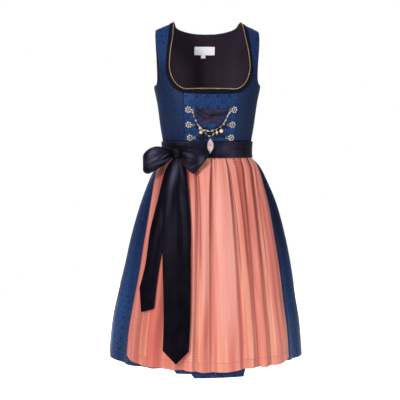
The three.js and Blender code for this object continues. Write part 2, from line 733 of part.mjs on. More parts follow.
// Moves a shape that stands on its own XY plane onto the bodice's front, facing out of the cloth.
function stood(geometry, x, z, lift) {
  const { point, normal } = bodiceFrame('front', onBodice('front', x, z));
  const up = new THREE.Vector3(0, 0, 1).addScaledVector(normal, -normal.z).normalize();
  const across = up.clone().cross(normal);
  const basis = new THREE.Matrix4().makeBasis(across, up, normal);
  basis.setPosition(point.addScaledVector(normal, lift));
  return geometry.applyMatrix4(basis);
}

// Hooks down either side of the lacing; a flat rosette stands off more where the cloth is hollow.
const HOOKS = table('name x z lift', [
  ['top_right', -64.8, -263, 0.4],
  ['middle_right', -63, -306, 0.6],
  ['bottom_right', -58.5, -344.3, 1.1],
  ['top_left', 68.8, -263, 0.4],
  ['middle_left', 65, -306, 0.6],
  ['bottom_left', 62, -344.3, 1.1],
]);
const ROSETTE = { radius: 10.4, petals: 8, edge: 1.2, shoulder: 2.6, crown: 3.6 };
const EYE = { reach: 13.4, outer: 4.2, inner: 2.3, thick: 1.4, lift: 0.5 };

// A filigree rosette with an eye on its inner side, which takes the lace.
function hook({ x, z, lift }) {
  const { radius, petals, edge, shoulder: high, crown } = ROSETTE;
  const profile = [[0, 0], [radius, 0], [radius, edge], [radius * 0.72, high], [radius * 0.3, crown - 0.5]];
  const points = [...profile, [0, crown]].map(([r, h]) => new THREE.Vector2(r, h));
  const dome = new THREE.LatheGeometry(points, 2 * petals).rotateX(Math.PI / 2);
  const place = dome.getAttribute('position');
  for (let i = 0; i < place.count; i += 1) {
    const around = Math.atan2(place.getY(i), place.getX(i));
    const scallop = 1 + 0.07 * Math.cos(petals * (around - Math.PI / 2));
    place.setXY(i, place.getX(i) * scallop, place.getY(i) * scallop);
  }
  const ring = new THREE.Shape().absarc(0, 0, EYE.outer, 0, 2 * Math.PI);
  ring.holes.push(new THREE.Path().absarc(0, 0, EYE.inner, 0, 2 * Math.PI, true));
  const eye = new THREE.ExtrudeGeometry(ring, { depth: EYE.thick, bevelEnabled: false, curveSegments: 6 });
  eye.translate(-Math.sign(x) * EYE.reach, 0, EYE.lift);
  return stood(fused(dome, eye), x, z, lift);
}

// Satin lace from eye to eye: a ribbon that narrows at both ends, lifted where it crosses another.
const LACES = {
  lace_top: [
    [-46.5, -261, 2, 0], [-38, -263.5, 3.5, 0], [-28, -268, 8, 0], [0, -271.5, 10, 0], [31, -268, 8, 0],
    [42, -263.5, 3.5, 0], [50.5, -261, 2, 0],
  ],
  lace_upper_under: [
    [-46, -267.5, 1.6, 0], [-40, -272, 3.5, 0.9], [-31, -277, 6, 1.9], [0, -289, 7, 1.9],
    [30, -299, 6, 0], [46.6, -303.5, 2, 0],
  ],
  lace_upper_over: [
    [50, -267.5, 1.6, 0], [44, -272, 3.5, 0.9], [35, -276, 6, 1.9], [22, -281, 7, 3.9],
    [-8, -292, 7, 3.9], [-20, -296.5, 6, 3.4], [-31, -300.5, 4.5, 0.8], [-44.6, -303.5, 2, 0],
  ],
  lace_lower_under: [
    [-44.6, -309, 2, 0.2], [-25, -319, 6, 0.2], [0, -328, 7, 0.2], [24, -336.5, 6, 0.6],
    [43.6, -341.5, 2, 0.3],
  ],
  lace_lower_over: [
    [46.6, -309, 2, 0], [28, -317, 6, 0.4], [12, -323, 7, 2.2], [-12, -333, 7, 2.2], [-26, -339, 5, 0.8],
    [-40, -343, 2, 0],
  ],
};

const LACE_CELLS = 12;
const LACE_GAP = 0.5; // over the bodice; the ribbon's own wall is 1 mm
function laceWall(rows) {
  const points = rows.map(([x, z]) => new THREE.Vector3(x, z, 0));
  const sizes = rows.map(([, , wide, lift], i) => new THREE.Vector3(i, wide, lift));
  const course = new THREE.CatmullRomCurve3(points);
  const size = new THREE.CatmullRomCurve3(sizes);
  const grid = spread(0, 1, LACE_CELLS).map((t) => {
    const { x, y: z } = course.getPoint(t);
    const slope = course.getTangent(t);
    const { y: wide, z: lift } = size.getPoint(t);
    return [-1, 0, 1].map((v) => {
      const frame = bodiceFrame('front', onBodice('front', x - slope.y * wide * v, z + slope.x * wide * v));
      return [0, 1].map((layer) => {
        const out = LACE_GAP + Math.max(lift, 0) + layer;
        return frame.point.clone().addScaledVector(frame.normal, out);
      });
    });
  });
  const face = (layer) => grid.map((row) => row.map((pair) => pair[layer]));
  return wall(face(1), face(0));
}

// Chains are plain rods here; their course is given on the cloth, with the height over it.
const CHAIN_RADIUS = 1.2;
const CHAIN_SIDES = 6;
const UPPER_CHAIN = [
  [-53, -268, 2], [-47, -285, 3.5], [-38, -302, 6], [-27, -314.5, 7.6], [-14, -321, 7.6], [0, -323, 7.6],
  [17.5, -317, 7.6], [29.5, -309, 7.6], [40, -298, 6], [48, -281, 4.5], [56.5, -268.5, 2],
];
const LOWER_CHAIN = [
  [-24, -320, 7.6], [-14, -329, 7.3], [-4.5, -337.6, 7], [0, -338.2, 7], [4.5, -337.6, 7],
  [9, -331, 7.3], [12.5, -323.6, 7.6],
];
const chainCurve = (rows) => new THREE.CatmullRomCurve3(
  rows.map(([x, z, lift]) => liftedBodice('front', x, z, lift)),
);

function rod(curve, radius, steps) {
  const section = new THREE.Shape();
  for (let i = 0; i < CHAIN_SIDES; i += 1) {
    const a = (i * 2 * Math.PI) / CHAIN_SIDES;
    const [x, y] = [radius * Math.cos(a), radius * Math.sin(a)];
    if (i) section.lineTo(x, y);
    else section.moveTo(x, y);
  }
  section.closePath();
  return new THREE.ExtrudeGeometry(section, { steps, bevelEnabled: false, extrudePath: curve });
}

// The ring that a charm hangs by: it goes round the chain, square to the chain's own direction.
const RING = { radius: 2.6, wire: 0.55 };
const STEM_RADIUS = 0.6;
function hangingRing(tangent) {
  const ring = new THREE.TorusGeometry(RING.radius, RING.wire, 6, 10);
  const turn = new THREE.Quaternion().setFromUnitVectors(new THREE.Vector3(0, 0, 1), tangent);
  return ring.applyQuaternion(turn);
}

// The ring's lowest point, from the ring's middle.
const ringFoot = (tangent) => {
  const down = new THREE.Vector3(0, 0, -1);
  return down.addScaledVector(tangent, tangent.z).setLength(RING.radius);
};

// A thin post from a ring's lowest point down to a given height.
function stem(start, foot) {
  const long = start.z - foot;
  const post = new THREE.CylinderGeometry(STEM_RADIUS, STEM_RADIUS, long, 6);
  return post.rotateX(Math.PI / 2).translate(start.x, start.y, foot + long / 2);
}

// The place on a chain where a charm hangs, by its sideways size.
function hangingPlace(curve, x) {
  let [low, high] = [0, 1];
  for (let i = 0; i < 30; i += 1) {
    const middle = (low + high) / 2;
    if (curve.getPoint(middle).x < x) low = middle;
    else high = middle;
  }
  return { point: curve.getPoint(low), tangent: curve.getTangent(low).normalize() };
}

const PEARLS = table('name x centreZ radius', [
  ['pearl_right', -27, -329, 4.75],
  ['pearl_small', 17.5, -328.5, 3.8],
  ['pearl_left', 29.5, -325, 5.6],
]);
const RINGLET = { radius: 2, wire: 0.5 };

function pearl({ name, x, centreZ, radius }) {
  const { point, tangent } = hangingPlace(chainCurve(UPPER_CHAIN), x);
  const drop = centreZ - point.z;
  const start = ringFoot(tangent);
  const pieces = [
    hangingRing(tangent),
    stem(start, drop + radius - 0.6),
    new THREE.SphereGeometry(radius, 10, 8).translate(start.x, start.y, drop),
  ];
  if (name === 'pearl_small') {
    const ringlet = new THREE.TorusGeometry(RINGLET.radius, RINGLET.wire, 6, 10).rotateX(Math.PI / 2);
    pieces.push(ringlet.translate(start.x, start.y, drop - radius - RINGLET.radius + 0.3));
  }
  return fused(...pieces).translate(point.x, point.y, point.z);
}

// Marquise pendant: a pointed oval plate with a bevelled edge on its ring.
const PENDANT = { wide: 21, tall: 42, thick: 3.6, bevel: 1, topZ: -346.5 };
function pendant() {
  const { point, tangent } = hangingPlace(chainCurve(LOWER_CHAIN), 0);
  const { wide, tall, thick, bevel } = PENDANT;
  const [w, h] = [wide / 2 - bevel, tall / 2 - bevel];
  const outline = new THREE.Shape().moveTo(0, -h);
  outline.quadraticCurveTo(w * 1.75, 0, 0, h).quadraticCurveTo(-w * 1.75, 0, 0, -h);
  const plate = new THREE.ExtrudeGeometry(outline, {
    depth: thick - 2 * bevel,
    bevelThickness: bevel,
    bevelSize: bevel,
    bevelSegments: 1,
    curveSegments: 7,
  });
  const middle = PENDANT.topZ - tall / 2 - point.z;
  plate.translate(0, 0, bevel - thick / 2).rotateX(Math.PI / 2).translate(0, 0, middle);
  const post = stem(ringFoot(tangent), middle + tall / 2 - 1.4);
  return fused(hangingRing(tangent), post, plate).translate(point.x, point.y, point.z);
}

// ---------------------------------------------------------------- the whole dress
const dress = new THREE.Group();
const material = (colour, roughness, metalness = 0) => {
  return new THREE.MeshStandardMaterial({ color: colour, roughness, metalness });
};
const finishes = {
  jacquard: () => material(0x33507a, 0.55),
  velvet: () => material(0x110f1f, 0.9),
  braid: () => material(0x8f7558, 0.5, 0.3),
  lining: () => material(0x2a2430, 0.6),
  apron: () => material(0xe79080, 0.45),
  satin: () => material(0x16131f, 0.3),
  tape: () => material(0xd8d4e0, 0.7),
  metal: () => material(0xb09a72, 0.35, 1),
  pearl: () => material(0xe8dcc4, 0.25),
  shell: () => material(0xcfaaa4, 0.3),
};

function add(name, geometry, finish) {
  const mesh = new THREE.Mesh(merged(geometry), finishes[finish]());
  mesh.name = name;
  dress.add(mesh);
}

// Turns a left piece into the matching right one; the wall is turned the right way again.
const across = (geometry) => facingOut(merged(geometry.clone().scale(-1, 1, 1)));
const pair = (stemName, geometry, finish) => {
  add(`${stemName}_left`, geometry, finish);
  add(`${stemName}_right`, across(geometry), finish);
};

add('bodice_front_centre', bodiceWall('front', frontCentrePanel(), 0, CLOTH), 'jacquard');
pair('bodice_front_side', bodiceWall('front', frontSidePanel(), 0, CLOTH), 'jacquard');
add('bodice_back_centre', bodiceWall('back', backCentrePanel(), 0, CLOTH), 'jacquard');
pair('bodice_back_side', bodiceWall('back', backSidePanel(), 0, CLOTH), 'jacquard');

const liningLift = -CLOTH - LINING.gap;
add('lining_back', bodiceWall('back', backLining(), liningLift, LINING.wall), 'lining');
const labelLift = liningLift - LINING.wall - LABEL_GAP;
const { left, right, top, foot } = LABEL;
add('label', insideTab(left, right, top, foot, labelLift, LABEL.wall), 'tape');
const tab = insideTab(SIZE_TAB.left, SIZE_TAB.right, foot - SEAM, SIZE_TAB.foot, labelLift, LABEL.wall);
add('size_tab', tab, 'tape');

const braidLift = LIE + VELVET + SEAM + BRAID.wall;
for (const side of ['front', 'back']) {
  add(`neck_velvet_${side}`, bodiceWall(side, velvetGrid(side), LIE + VELVET, VELVET), 'velvet');
  add(`neck_braid_${side}`, bodiceWall(side, braidGrid(side), braidLift, BRAID.wall), 'braid');
}

add('skirt_front', skirtWall(frontTurns()), 'jacquard');
add('skirt_back', skirtWall(backTurns()), 'jacquard');
add('apron', apronWall(), 'apron');

const BAND_END = 0.15; // degrees kept off the side by the waistband and by the tie behind it
add('apron_waistband', bandWall(BAND_END, 180 - BAND_END, BAND_FOOT_Z, BAND_GAP), 'satin');
add('tie_round_back', bandWall(180 + BAND_END, 360 - BAND_END, TIE_FOOT_Z, LIE), 'satin');

const knotSeat = beforeSkirt(KNOT.x, KNOT.z, BAND_GAP + BAND_WALL + LIE + KNOT.deep / 2);
const knotBall = new THREE.SphereGeometry(1, 14, 10);
knotBall.scale(KNOT.wide / 2, KNOT.deep / 2, KNOT.tall / 2);
add('bow_knot', knotBall.rotateZ(-0.5).translate(knotSeat.x, knotSeat.y, KNOT.z), 'satin');
add('bow_loop_right', loopWall(LEFT_LOOP), 'satin');
add('bow_loop_left', loopWall(RIGHT_LOOP), 'satin');
const longLift = RIBBON_LIFT + SATIN + 2.4;
const levels = [0, 0.04, 0.09, 0.17, 0.3, 0.46, 0.64, 0.82, 1];
add('bow_tail_long', tailWall(LONG_TAIL, longFoot, longLift, levels), 'satin');
add('bow_tail_short', tailWall(SHORT_TAIL, shortFoot, RIBBON_LIFT, levels), 'satin');

HOOKS.forEach((row) => add(`hook_${row.name}`, hook(row), 'metal'));
Object.entries(LACES).forEach(([name, rows]) => add(name, laceWall(rows), 'satin'));
const laceKnot = new THREE.SphereGeometry(1, 10, 8).scale(10, 6.5, 2.4);
add('lace_knot', stood(laceKnot, -25, -345, 5), 'satin');

add('chain_upper', rod(chainCurve(UPPER_CHAIN), CHAIN_RADIUS, 24), 'metal');
add('chain_lower', rod(chainCurve(LOWER_CHAIN), CHAIN_RADIUS, 18), 'metal');
PEARLS.forEach((row) => add(row.name, pearl(row), 'pearl'));
add('pendant', pendant(), 'shell');

export default dress;
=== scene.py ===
import math

import bmesh
import bpy
import numpy as np
from mathutils import Matrix, Vector


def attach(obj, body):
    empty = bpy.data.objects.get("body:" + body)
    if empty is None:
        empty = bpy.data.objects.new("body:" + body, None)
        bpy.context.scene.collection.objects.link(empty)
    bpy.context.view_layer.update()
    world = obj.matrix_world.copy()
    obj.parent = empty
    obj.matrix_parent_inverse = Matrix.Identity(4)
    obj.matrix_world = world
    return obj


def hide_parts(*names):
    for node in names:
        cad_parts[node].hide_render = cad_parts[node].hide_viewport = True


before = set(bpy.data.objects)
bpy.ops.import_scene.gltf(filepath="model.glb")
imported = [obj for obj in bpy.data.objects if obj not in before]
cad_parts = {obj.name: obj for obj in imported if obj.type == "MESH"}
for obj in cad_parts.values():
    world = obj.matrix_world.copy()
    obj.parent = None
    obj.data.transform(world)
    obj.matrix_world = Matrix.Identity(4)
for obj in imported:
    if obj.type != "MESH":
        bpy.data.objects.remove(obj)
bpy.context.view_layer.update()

# ------------------------------------------------------------------------------ camera and studio
# The dress is worn by nobody in a plain white studio. The camera looks at its front from a little
# to the wearer's right and just above the waist, with a long lens two metres away.
AIM = Vector((-0.0217, 0.0, -0.537))
DISTANCE = 2.1
TURN = math.radians(-5)
TILT = math.radians(5.5)
LENS = 60.966

away = Vector((
    math.sin(TURN) * math.cos(TILT),
    -math.cos(TURN) * math.cos(TILT),
    math.sin(TILT),
))
camera = bpy.data.objects.new("camera", bpy.data.cameras.new("camera"))
camera.data.lens = LENS
camera.data.sensor_width = 36
camera.location = AIM + DISTANCE * away
camera.rotation_euler = away.to_track_quat("Z", "Y").to_euler()
scene = bpy.context.scene
scene.collection.objects.link(camera)
scene.camera = camera
scene.view_settings.view_transform = "Standard"


def softbox(name, place, target, size, power):
    """A square studio light that looks at a point of the dress."""
    light = bpy.data.lights.new(name, "AREA")
    light.shape = "SQUARE"
    light.size = size
    light.energy = power
    lamp = bpy.data.objects.new(name, light)
    lamp.location = place
    lamp.rotation_euler = (Vector(place) - Vector(target)).to_track_quat("Z", "Y").to_euler()
    scene.collection.objects.link(lamp)


softbox("key_light", (-1.75, -2.35, 0.7), (0, 0, -0.5), 0.6, 64)
softbox("fill_light", (2.0, -2.2, 0.1), (0, 0, -0.5), 1.2, 18)
softbox("top_light", (0.2, -0.9, 1.6), (0, 0, -0.4), 0.7, 13)
softbox("back_light_left", (1.0, 2.7, 0.7), (0, 0, -0.5), 1.2, 20)
softbox("back_light_right", (-1.0, 2.7, 0.7), (0, 0, -0.5), 1.2, 20)


class Wire:
    """An output socket in a finish. Python's operators on it add Math nodes."""

    def __init__(self, finish, socket):
        self.finish = finish
        self.socket = socket

    def maths(self, operation, *others):
        return self.finish.node("Math", {"operation": operation}, (self, *others))

    def __add__(self, other):
        return self.maths("ADD", other)

    def __sub__(self, other):
        return self.maths("SUBTRACT", other)

    def __rsub__(self, other):
        return self.finish.node("Math", {"operation": "SUBTRACT"}, (other, self))

    def __mul__(self, other):
        return self.maths("MULTIPLY", other)

    def __truediv__(self, other):
        return self.maths("DIVIDE", other)

    __radd__ = __add__
    __rmul__ = __mul__

    def soft(self, low, high):
        """0 below one value and 1 above another, with a soft step between."""
        values = {"Value": self, "From Min": low, "From Max": high}
        return self.finish.node("MapRange", {"interpolation_type": "SMOOTHSTEP"}, values)

    def beside(self, pitch, phase=0.0):
        """How far the value is from the nearest of a row of lines, one pitch apart."""
        return (self + phase).maths("PINGPONG", pitch / 2)


class Finish:
    """A material in the making. node() adds a node of any kind and gives one of its outputs."""

    def __init__(self, name, roughness, metallic=0.0, **shader):
        self.material = bpy.data.materials.new(name)
        self.material.use_nodes = True
        self.tree = self.material.node_tree
        self.shader = self.tree.nodes["Principled BSDF"]
        self.set({"Roughness": roughness, "Metallic": metallic, **shader})

    def node(self, kind, settings=None, values=(), output=0):
        node = self.tree.nodes.new(f"ShaderNode{kind}")
        for name, setting in (settings or {}).items():
            setattr(node, name, setting)
        self.feed(node, dict(values) if isinstance(values, dict) else dict(enumerate(values)))
        return Wire(self, node.outputs[output])

    def feed(self, node, values):
        for name, value in values.items():
            if isinstance(value, Wire):
                self.tree.links.new(value.socket, node.inputs[name])
            else:
                node.inputs[name].default_value = value

    def set(self, values):
        self.feed(self.shader, values)

    def mix(self, first, second, share):
        """One colour turning into another."""
        return self.node("Mix", {"data_type": "RGBA"}, {0: share, 6: first, 7: second}, 2)

    def cloth_places(self):
        """A point's place on the flat cloth, across and up, in metres."""
        flat = self.node("UVMap", {"uv_map": "cloth"})
        return [self.node("SeparateXYZ", values=(flat,), output=axis) for axis in ("X", "Y")]

    def marked(self, name):
        """The value that each point of the piece is marked with."""
        return self.node("Attribute", {"attribute_name": name}, output="Fac")

    def cloudy(self, scale, detail=2.0, stretch=(1, 1, 1), coordinates="Object"):
        """Soft noise over the piece, from 0 to 1; scale is in bumps to a metre."""
        if coordinates == "Object":
            place = self.node("TexCoord", output="Object")
        else:
            place = self.node("UVMap", {"uv_map": coordinates})
        place = self.node("Mapping", values={"Vector": place, "Scale": stretch})
        return self.node("TexNoise", values={"Vector": place, "Scale": scale, "Detail": detail})

    def relief(self, height, strength=1.0):
        """Turns the surface by a height in metres."""
        values = {"Height": height, "Distance": 1.0, "Strength": strength}
        self.set({"Normal": self.node("Bump", values=values)})


def dye(red, green, blue):
    """A colour from its values out of 255, as the shader takes it."""
    linear = [((c / 255 + 0.055) / 1.055) ** 2.4 for c in (red, green, blue)]
    return (*linear, 1.0)


FLOOR_Z = -1.3
ROOM_LIGHT = 0.26  # what the white room gives back
studio = bpy.data.worlds.new("studio")
studio.use_nodes = True
scene.world = studio
backdrop = studio.node_tree.nodes["Background"]
backdrop.inputs["Color"].default_value = (1, 1, 1, 1)
seen = studio.node_tree.nodes.new("ShaderNodeLightPath").outputs["Is Camera Ray"]
strength = studio.node_tree.nodes.new("ShaderNodeMapRange")
strength.inputs["To Min"].default_value = ROOM_LIGHT
strength.inputs["To Max"].default_value = 1.0
studio.node_tree.links.new(seen, strength.inputs["Value"])
studio.node_tree.links.new(strength.outputs["Result"], backdrop.inputs["Strength"])

floor_mesh = bmesh.new()
bmesh.ops.create_circle(floor_mesh, cap_ends=True, segments=64, radius=2.3)
floor_data = bpy.data.meshes.new("floor")
floor_mesh.to_mesh(floor_data)
floor_mesh.free()
floor_data.transform(Matrix.Translation((0, 0, FLOOR_Z)))
floor = bpy.data.objects.new("floor", floor_data)
scene.collection.objects.link(floor)
paper = Finish("white_paper", 0.9, **{"Emission Color": (1, 1, 1, 1), "Emission Strength": 0.9})
paper.set({"Base Color": paper.mix(dye(238, 238, 238), dye(246, 246, 246), paper.cloudy(0.8))})
floor_data.materials.append(paper.material)

# ------------------------------------------------------------------------------ bodice
# Six panels of blue figured silk, cut to the body with princess seams front and back: small dark
# lozenges in rows, with fine leaves between them. They are sewn edge to edge and drawn tight.
MM = 0.001
SEAM = 0.1  # gap between neighbouring panels
CLOTH = 1.5
LIE = 1.0  # how far one layer of cloth lies off the next
WAIST_Z = -355.0
SQUARENESS = 2.3  # the power of the rounded square round the body, where 2 is an ellipse
SMALL_TURN = 0.004  # radians either way, to feel which way the cloth runs
# The shoulders' ridge: its rise in the middle, its fall at the half width, and the drop where it ends.
RIDGE = {"rise": 16, "fall": 41, "half": 160, "level": 200}
# Where each side stands out furthest: how far down, and its depth there and at the waist.
FULLEST = {"front": (240, 118, 92), "back": (140, 98, 88)}
LOWEST_DROP = 420
UNDERARM_Z = -192


def table(columns, *rows):
    """Sizes in millimetres, and turns in degrees, with a name to each column."""
    return dict(zip(columns.split(), np.array(rows, dtype=float).T))


def smooth(t):
    t = np.clip(t, 0, 1)
    return t * t * (3 - 2 * t)


def lerp(a, b, t):
    return a + (b - a) * t


def read(rows, key, column, at, straight=False):
    """Reads a column between a table's rows, on a smooth curve or in straight steps."""
    x, y = rows[key], rows[column]
    if x[-1] < x[0]:
        x, y = x[::-1], y[::-1]
    at = np.clip(at, x[0], x[-1])
    if straight:
        return np.interp(at, x, y)
    slope = np.diff(y) / np.diff(x)
    slope = np.concatenate([slope[:1], (y[2:] - y[:-2]) / (x[2:] - x[:-2]), slope[-1:]])
    i = np.clip(np.searchsorted(x, at, side="right") - 1, 0, len(x) - 2)
    span = x[i + 1] - x[i]
    t = (at - x[i]) / span
    keep = (1 + 2 * t) * (1 - t) ** 2
    ends = keep * y[i] + (1 - keep) * y[i + 1]
    return ends + t * (1 - t) ** 2 * span * slope[i] + t * t * (t - 1) * span * slope[i + 1]


BODICE_WIDTH = table(
    "drop half",
    (0, 178), (100, 170), (192, 162), (240, 152.5), (312, 143), (355, 136.5), (400, 134.5),
)


def bodice_depth(side, drop):
    """How deep the body is, out to its fullest line and in again to the waist."""
    full_drop, full, waist = FULLEST[side]
    upper = full * np.sqrt(np.maximum(1 - (1 - drop / full_drop) ** 2, 0))
    lower = lerp(full, waist, smooth((drop - full_drop) / (-WAIST_Z - full_drop)))
    return np.where(drop < full_drop, upper, lower)


def ridge_height(x, drop):
    ridge = RIDGE["rise"] - RIDGE["fall"] * (x / RIDGE["half"]) ** 2
    return ridge * (1 - smooth(drop / RIDGE["level"]))


def plan(turn):
    """The rounded square that a body's section makes, as shares of its half width and depth."""
    power = 2 / SQUARENESS
    across = np.sign(np.cos(turn)) * np.abs(np.cos(turn)) ** power
    return across, -np.sign(np.sin(turn)) * np.abs(np.sin(turn)) ** power


def turn_of(ratio, side):
    """The turn round the body at a share of its half width: what plan works out, the other way."""
    bounded = np.minimum(np.abs(ratio), 1) ** (SQUARENESS / 2)
    turn = np.arccos(np.sign(ratio) * bounded)
    return turn if side == "front" else 2 * math.pi - turn


def cloth_runs(side):
    """Length of cloth from the shoulder down to each depth."""
    drop = LOWEST_DROP * np.linspace(0, 1, 241) ** 2
    steps = np.hypot(np.diff(drop), np.diff(bodice_depth(side, drop)))
    return {"drop": drop, "run": np.concatenate([[0], np.cumsum(steps)])}


RUNS = {side: cloth_runs(side) for side in ("front", "back")}


def bodice_point(side, turn, run):
    """A point on the bodice, by its turn round the body and the run of cloth above it."""
    drop = read(RUNS[side], "run", "drop", run, straight=True)
    across, out = plan(turn)
    x = read(BODICE_WIDTH, "drop", "half", drop) * across
    return np.stack([x, bodice_depth(side, drop) * out, ridge_height(x, drop) - drop], axis=-1)


def on_bodice(side, x, z):
    """The turn and the run of cloth at a place given by its sideways and height sizes."""
    drop = -z + 0.0 * x
    for _ in range(12):  # the ridge's height depends on the drop, so both settle in rounds
        drop = np.maximum(ridge_height(x, drop) - z, 0)
    turn = turn_of(x / read(BODICE_WIDTH, "drop", "half", drop), side)
    return turn, read(RUNS[side], "drop", "run", drop, straight=True)


def unit(vectors):
    return vectors / np.maximum(np.linalg.norm(vectors, axis=-1, keepdims=True), 1e-9)


def bodice_lift(side, turn, run, lift):
    """Points on the bodice's cloth, moved out of it."""
    point = bodice_point(side, turn, run)
    across = bodice_point(side, turn + SMALL_TURN, run) - bodice_point(side, turn - SMALL_TURN, run)
    down = bodice_point(side, turn, run + 0.6) - bodice_point(side, turn, np.maximum(run - 0.6, 0))
    normal = unit(np.cross(across, down))
    outward = point * (1, 1, 0) + (0, 0, 60)
    normal = normal * np.sign(np.sum(normal * outward, axis=-1, keepdims=True))
    return point + normal * np.asarray(lift)[..., None]


PLACE_SCALE = 150  # millimetres of cloth to a radian, so that both directions count alike


def places(side, spots):
    """Places on the flat cloth, from sideways and height sizes."""
    x, z = np.array(spots, dtype=float).T
    turn, run = on_bodice(side, x, z)
    return np.stack([turn * PLACE_SCALE, run], axis=-1)


def course(spots, count, crowd=1.0):
    """Evenly spaced places on a smooth curve through a few, or closer together at its start."""
    p = np.array(spots, dtype=float)
    p = np.vstack([2 * p[0] - p[1], p, 2 * p[-1] - p[-2]])
    gap = np.maximum(np.linalg.norm(np.diff(p, axis=0), axis=1) ** 0.5, 1e-6)
    t = np.linspace(0, 1, 40, endpoint=False)[:, None]
    pieces = []
    for i in range(1, len(p) - 2):
        a, b, c = gap[i - 1], gap[i], gap[i + 1]
        step = p[i + 1] - p[i]
        lead = ((p[i] - p[i - 1]) / a - (p[i + 1] - p[i - 1]) / (a + b) + step / b) * b
        tail = (step / b - (p[i + 2] - p[i]) / (b + c) + (p[i + 2] - p[i + 1]) / c) * b
        keep = (1 + 2 * t) * (1 - t) ** 2
        ends = keep * p[i] + (1 - keep) * p[i + 1]
        pieces.append(ends + t * (1 - t) ** 2 * lead + t * t * (t - 1) * tail)
    line = np.vstack([*pieces, p[-2]])
    long = np.concatenate([[0], np.cumsum(np.linalg.norm(np.diff(line, axis=0), axis=1))])
    share = np.linspace(0, 1, count + 1) ** crowd * long[-1]
    return np.stack([np.interp(share, long, column) for column in line.T], axis=-1)


def joined(*lines):
    """Lines end to end, each starting where the last one ends."""
    return np.vstack([lines[0], *[line[1:] for line in lines[1:]]])


def mirrored(line):
    """The same places on the body's other side."""
    across = math.pi * PLACE_SCALE - line[:, 0]
    across = np.where(across < 0, across + 2 * math.pi * PLACE_SCALE, across)
    return np.stack([across, line[:, 1]], axis=-1)


def fill(top, foot, first, last):
    """All the places between four edges of cloth: top and foot, and the first and last sides."""
    u = np.linspace(0, 1, len(top))[None, :, None]
    v = np.linspace(0, 1, len(first))[:, None, None]
    edges = lerp(top[None], foot[None], v) + lerp(first[:, None], last[:, None], u)
    corners = lerp(lerp(top[0], top[-1], u), lerp(foot[0], foot[-1], u), v)
    return edges - corners


def troughs(x, z, creases):
    """How far soft creases raise the cloth. Each has two ends, a width and a rise."""
    total = np.zeros_like(x)
    for x0, z0, x1, z1, width, rise in creases:
        t = ((x - x0) * (x1 - x0) + (z - z0) * (z1 - z0)) / ((x1 - x0) ** 2 + (z1 - z0) ** 2)
        t = np.clip(t, 0, 1)
        far = np.hypot(x - lerp(x0, x1, t), z - lerp(z0, z1, t))
        total += rise * np.exp(-((far / width) ** 2)) * np.sin(np.pi * np.clip(t, 0.06, 0.94))
    return total


def mesh_of(name, points, flat):
    """A grid bent to rows of points, with the cloth's flat sizes as its UV map."""
    rows, columns = points.shape[0] - 1, points.shape[1] - 1
    grid = bmesh.new()
    bmesh.ops.create_grid(grid, x_segments=columns, y_segments=rows, size=0.5)
    mesh = bpy.data.meshes.new(name)
    grid.to_mesh(mesh)
    grid.free()
    place = np.empty(len(mesh.vertices) * 3)
    mesh.vertices.foreach_get("co", place)
    column, row, _ = np.rint((place.reshape(-1, 3) + 0.5) * (columns, rows, 1)).astype(int).T
    mesh.vertices.foreach_set("co", (points[row, column] * MM).ravel())
    corner = np.empty(len(mesh.loops), dtype=int)
    mesh.loops.foreach_get("vertex_index", corner)
    layer = mesh.uv_layers.new(name="cloth")
    layer.data.foreach_set("uv", (flat[row, column][corner] * MM).ravel())
    mesh.update()
    return mesh


def faces_inwards(mesh):
    """Whether most of a mesh round the body looks towards the body's axis."""
    total = 0.0
    for face in mesh.polygons:
        total += face.area * (face.normal.x * face.center.x + face.normal.y * face.center.y)
    return total < 0


def put(name, mesh, finish, body="dress", nodes=()):
    """Adds a finished mesh to the dress as one piece."""
    mesh.materials.append(finish.material)
    mesh.polygons.foreach_set("use_smooth", [True] * len(mesh.polygons))
    piece = bpy.data.objects.new(name, mesh)
    scene.collection.objects.link(piece)
    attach(piece, body)
    if nodes:
        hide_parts(*nodes)
    return piece


def cloth_piece(name, points, flat, thick, finish, outward=True):
    """A sheet of cloth in its node's place, whose outer face goes through the given points."""
    mesh = mesh_of(f"{name}_cloth", points, flat)
    if outward and faces_inwards(mesh):
        mesh.flip_normals()
    piece = put(f"{name}_cloth", mesh, finish, nodes=(name,))
    wall = piece.modifiers.new("wall", "SOLIDIFY")
    wall.thickness = thick * MM
    wall.offset = -1 if outward else 0
    return piece


def girth(side):
    """Length of cloth round the body from the centre line to each turn, at the fullest line."""
    turn = np.linspace(0, math.pi, 721) + (0 if side == "front" else math.pi)
    across, out = plan(turn)
    drop = FULLEST[side][0]
    x = float(read(BODICE_WIDTH, "drop", "half", drop)) * across
    y = FULLEST[side][1] * out
    long = np.concatenate([[0], np.cumsum(np.hypot(np.diff(x), np.diff(y)))])
    return {"turn": turn, "long": long - long[-1] / 2}


GIRTHS = {side: girth(side) for side in ("front", "back")}


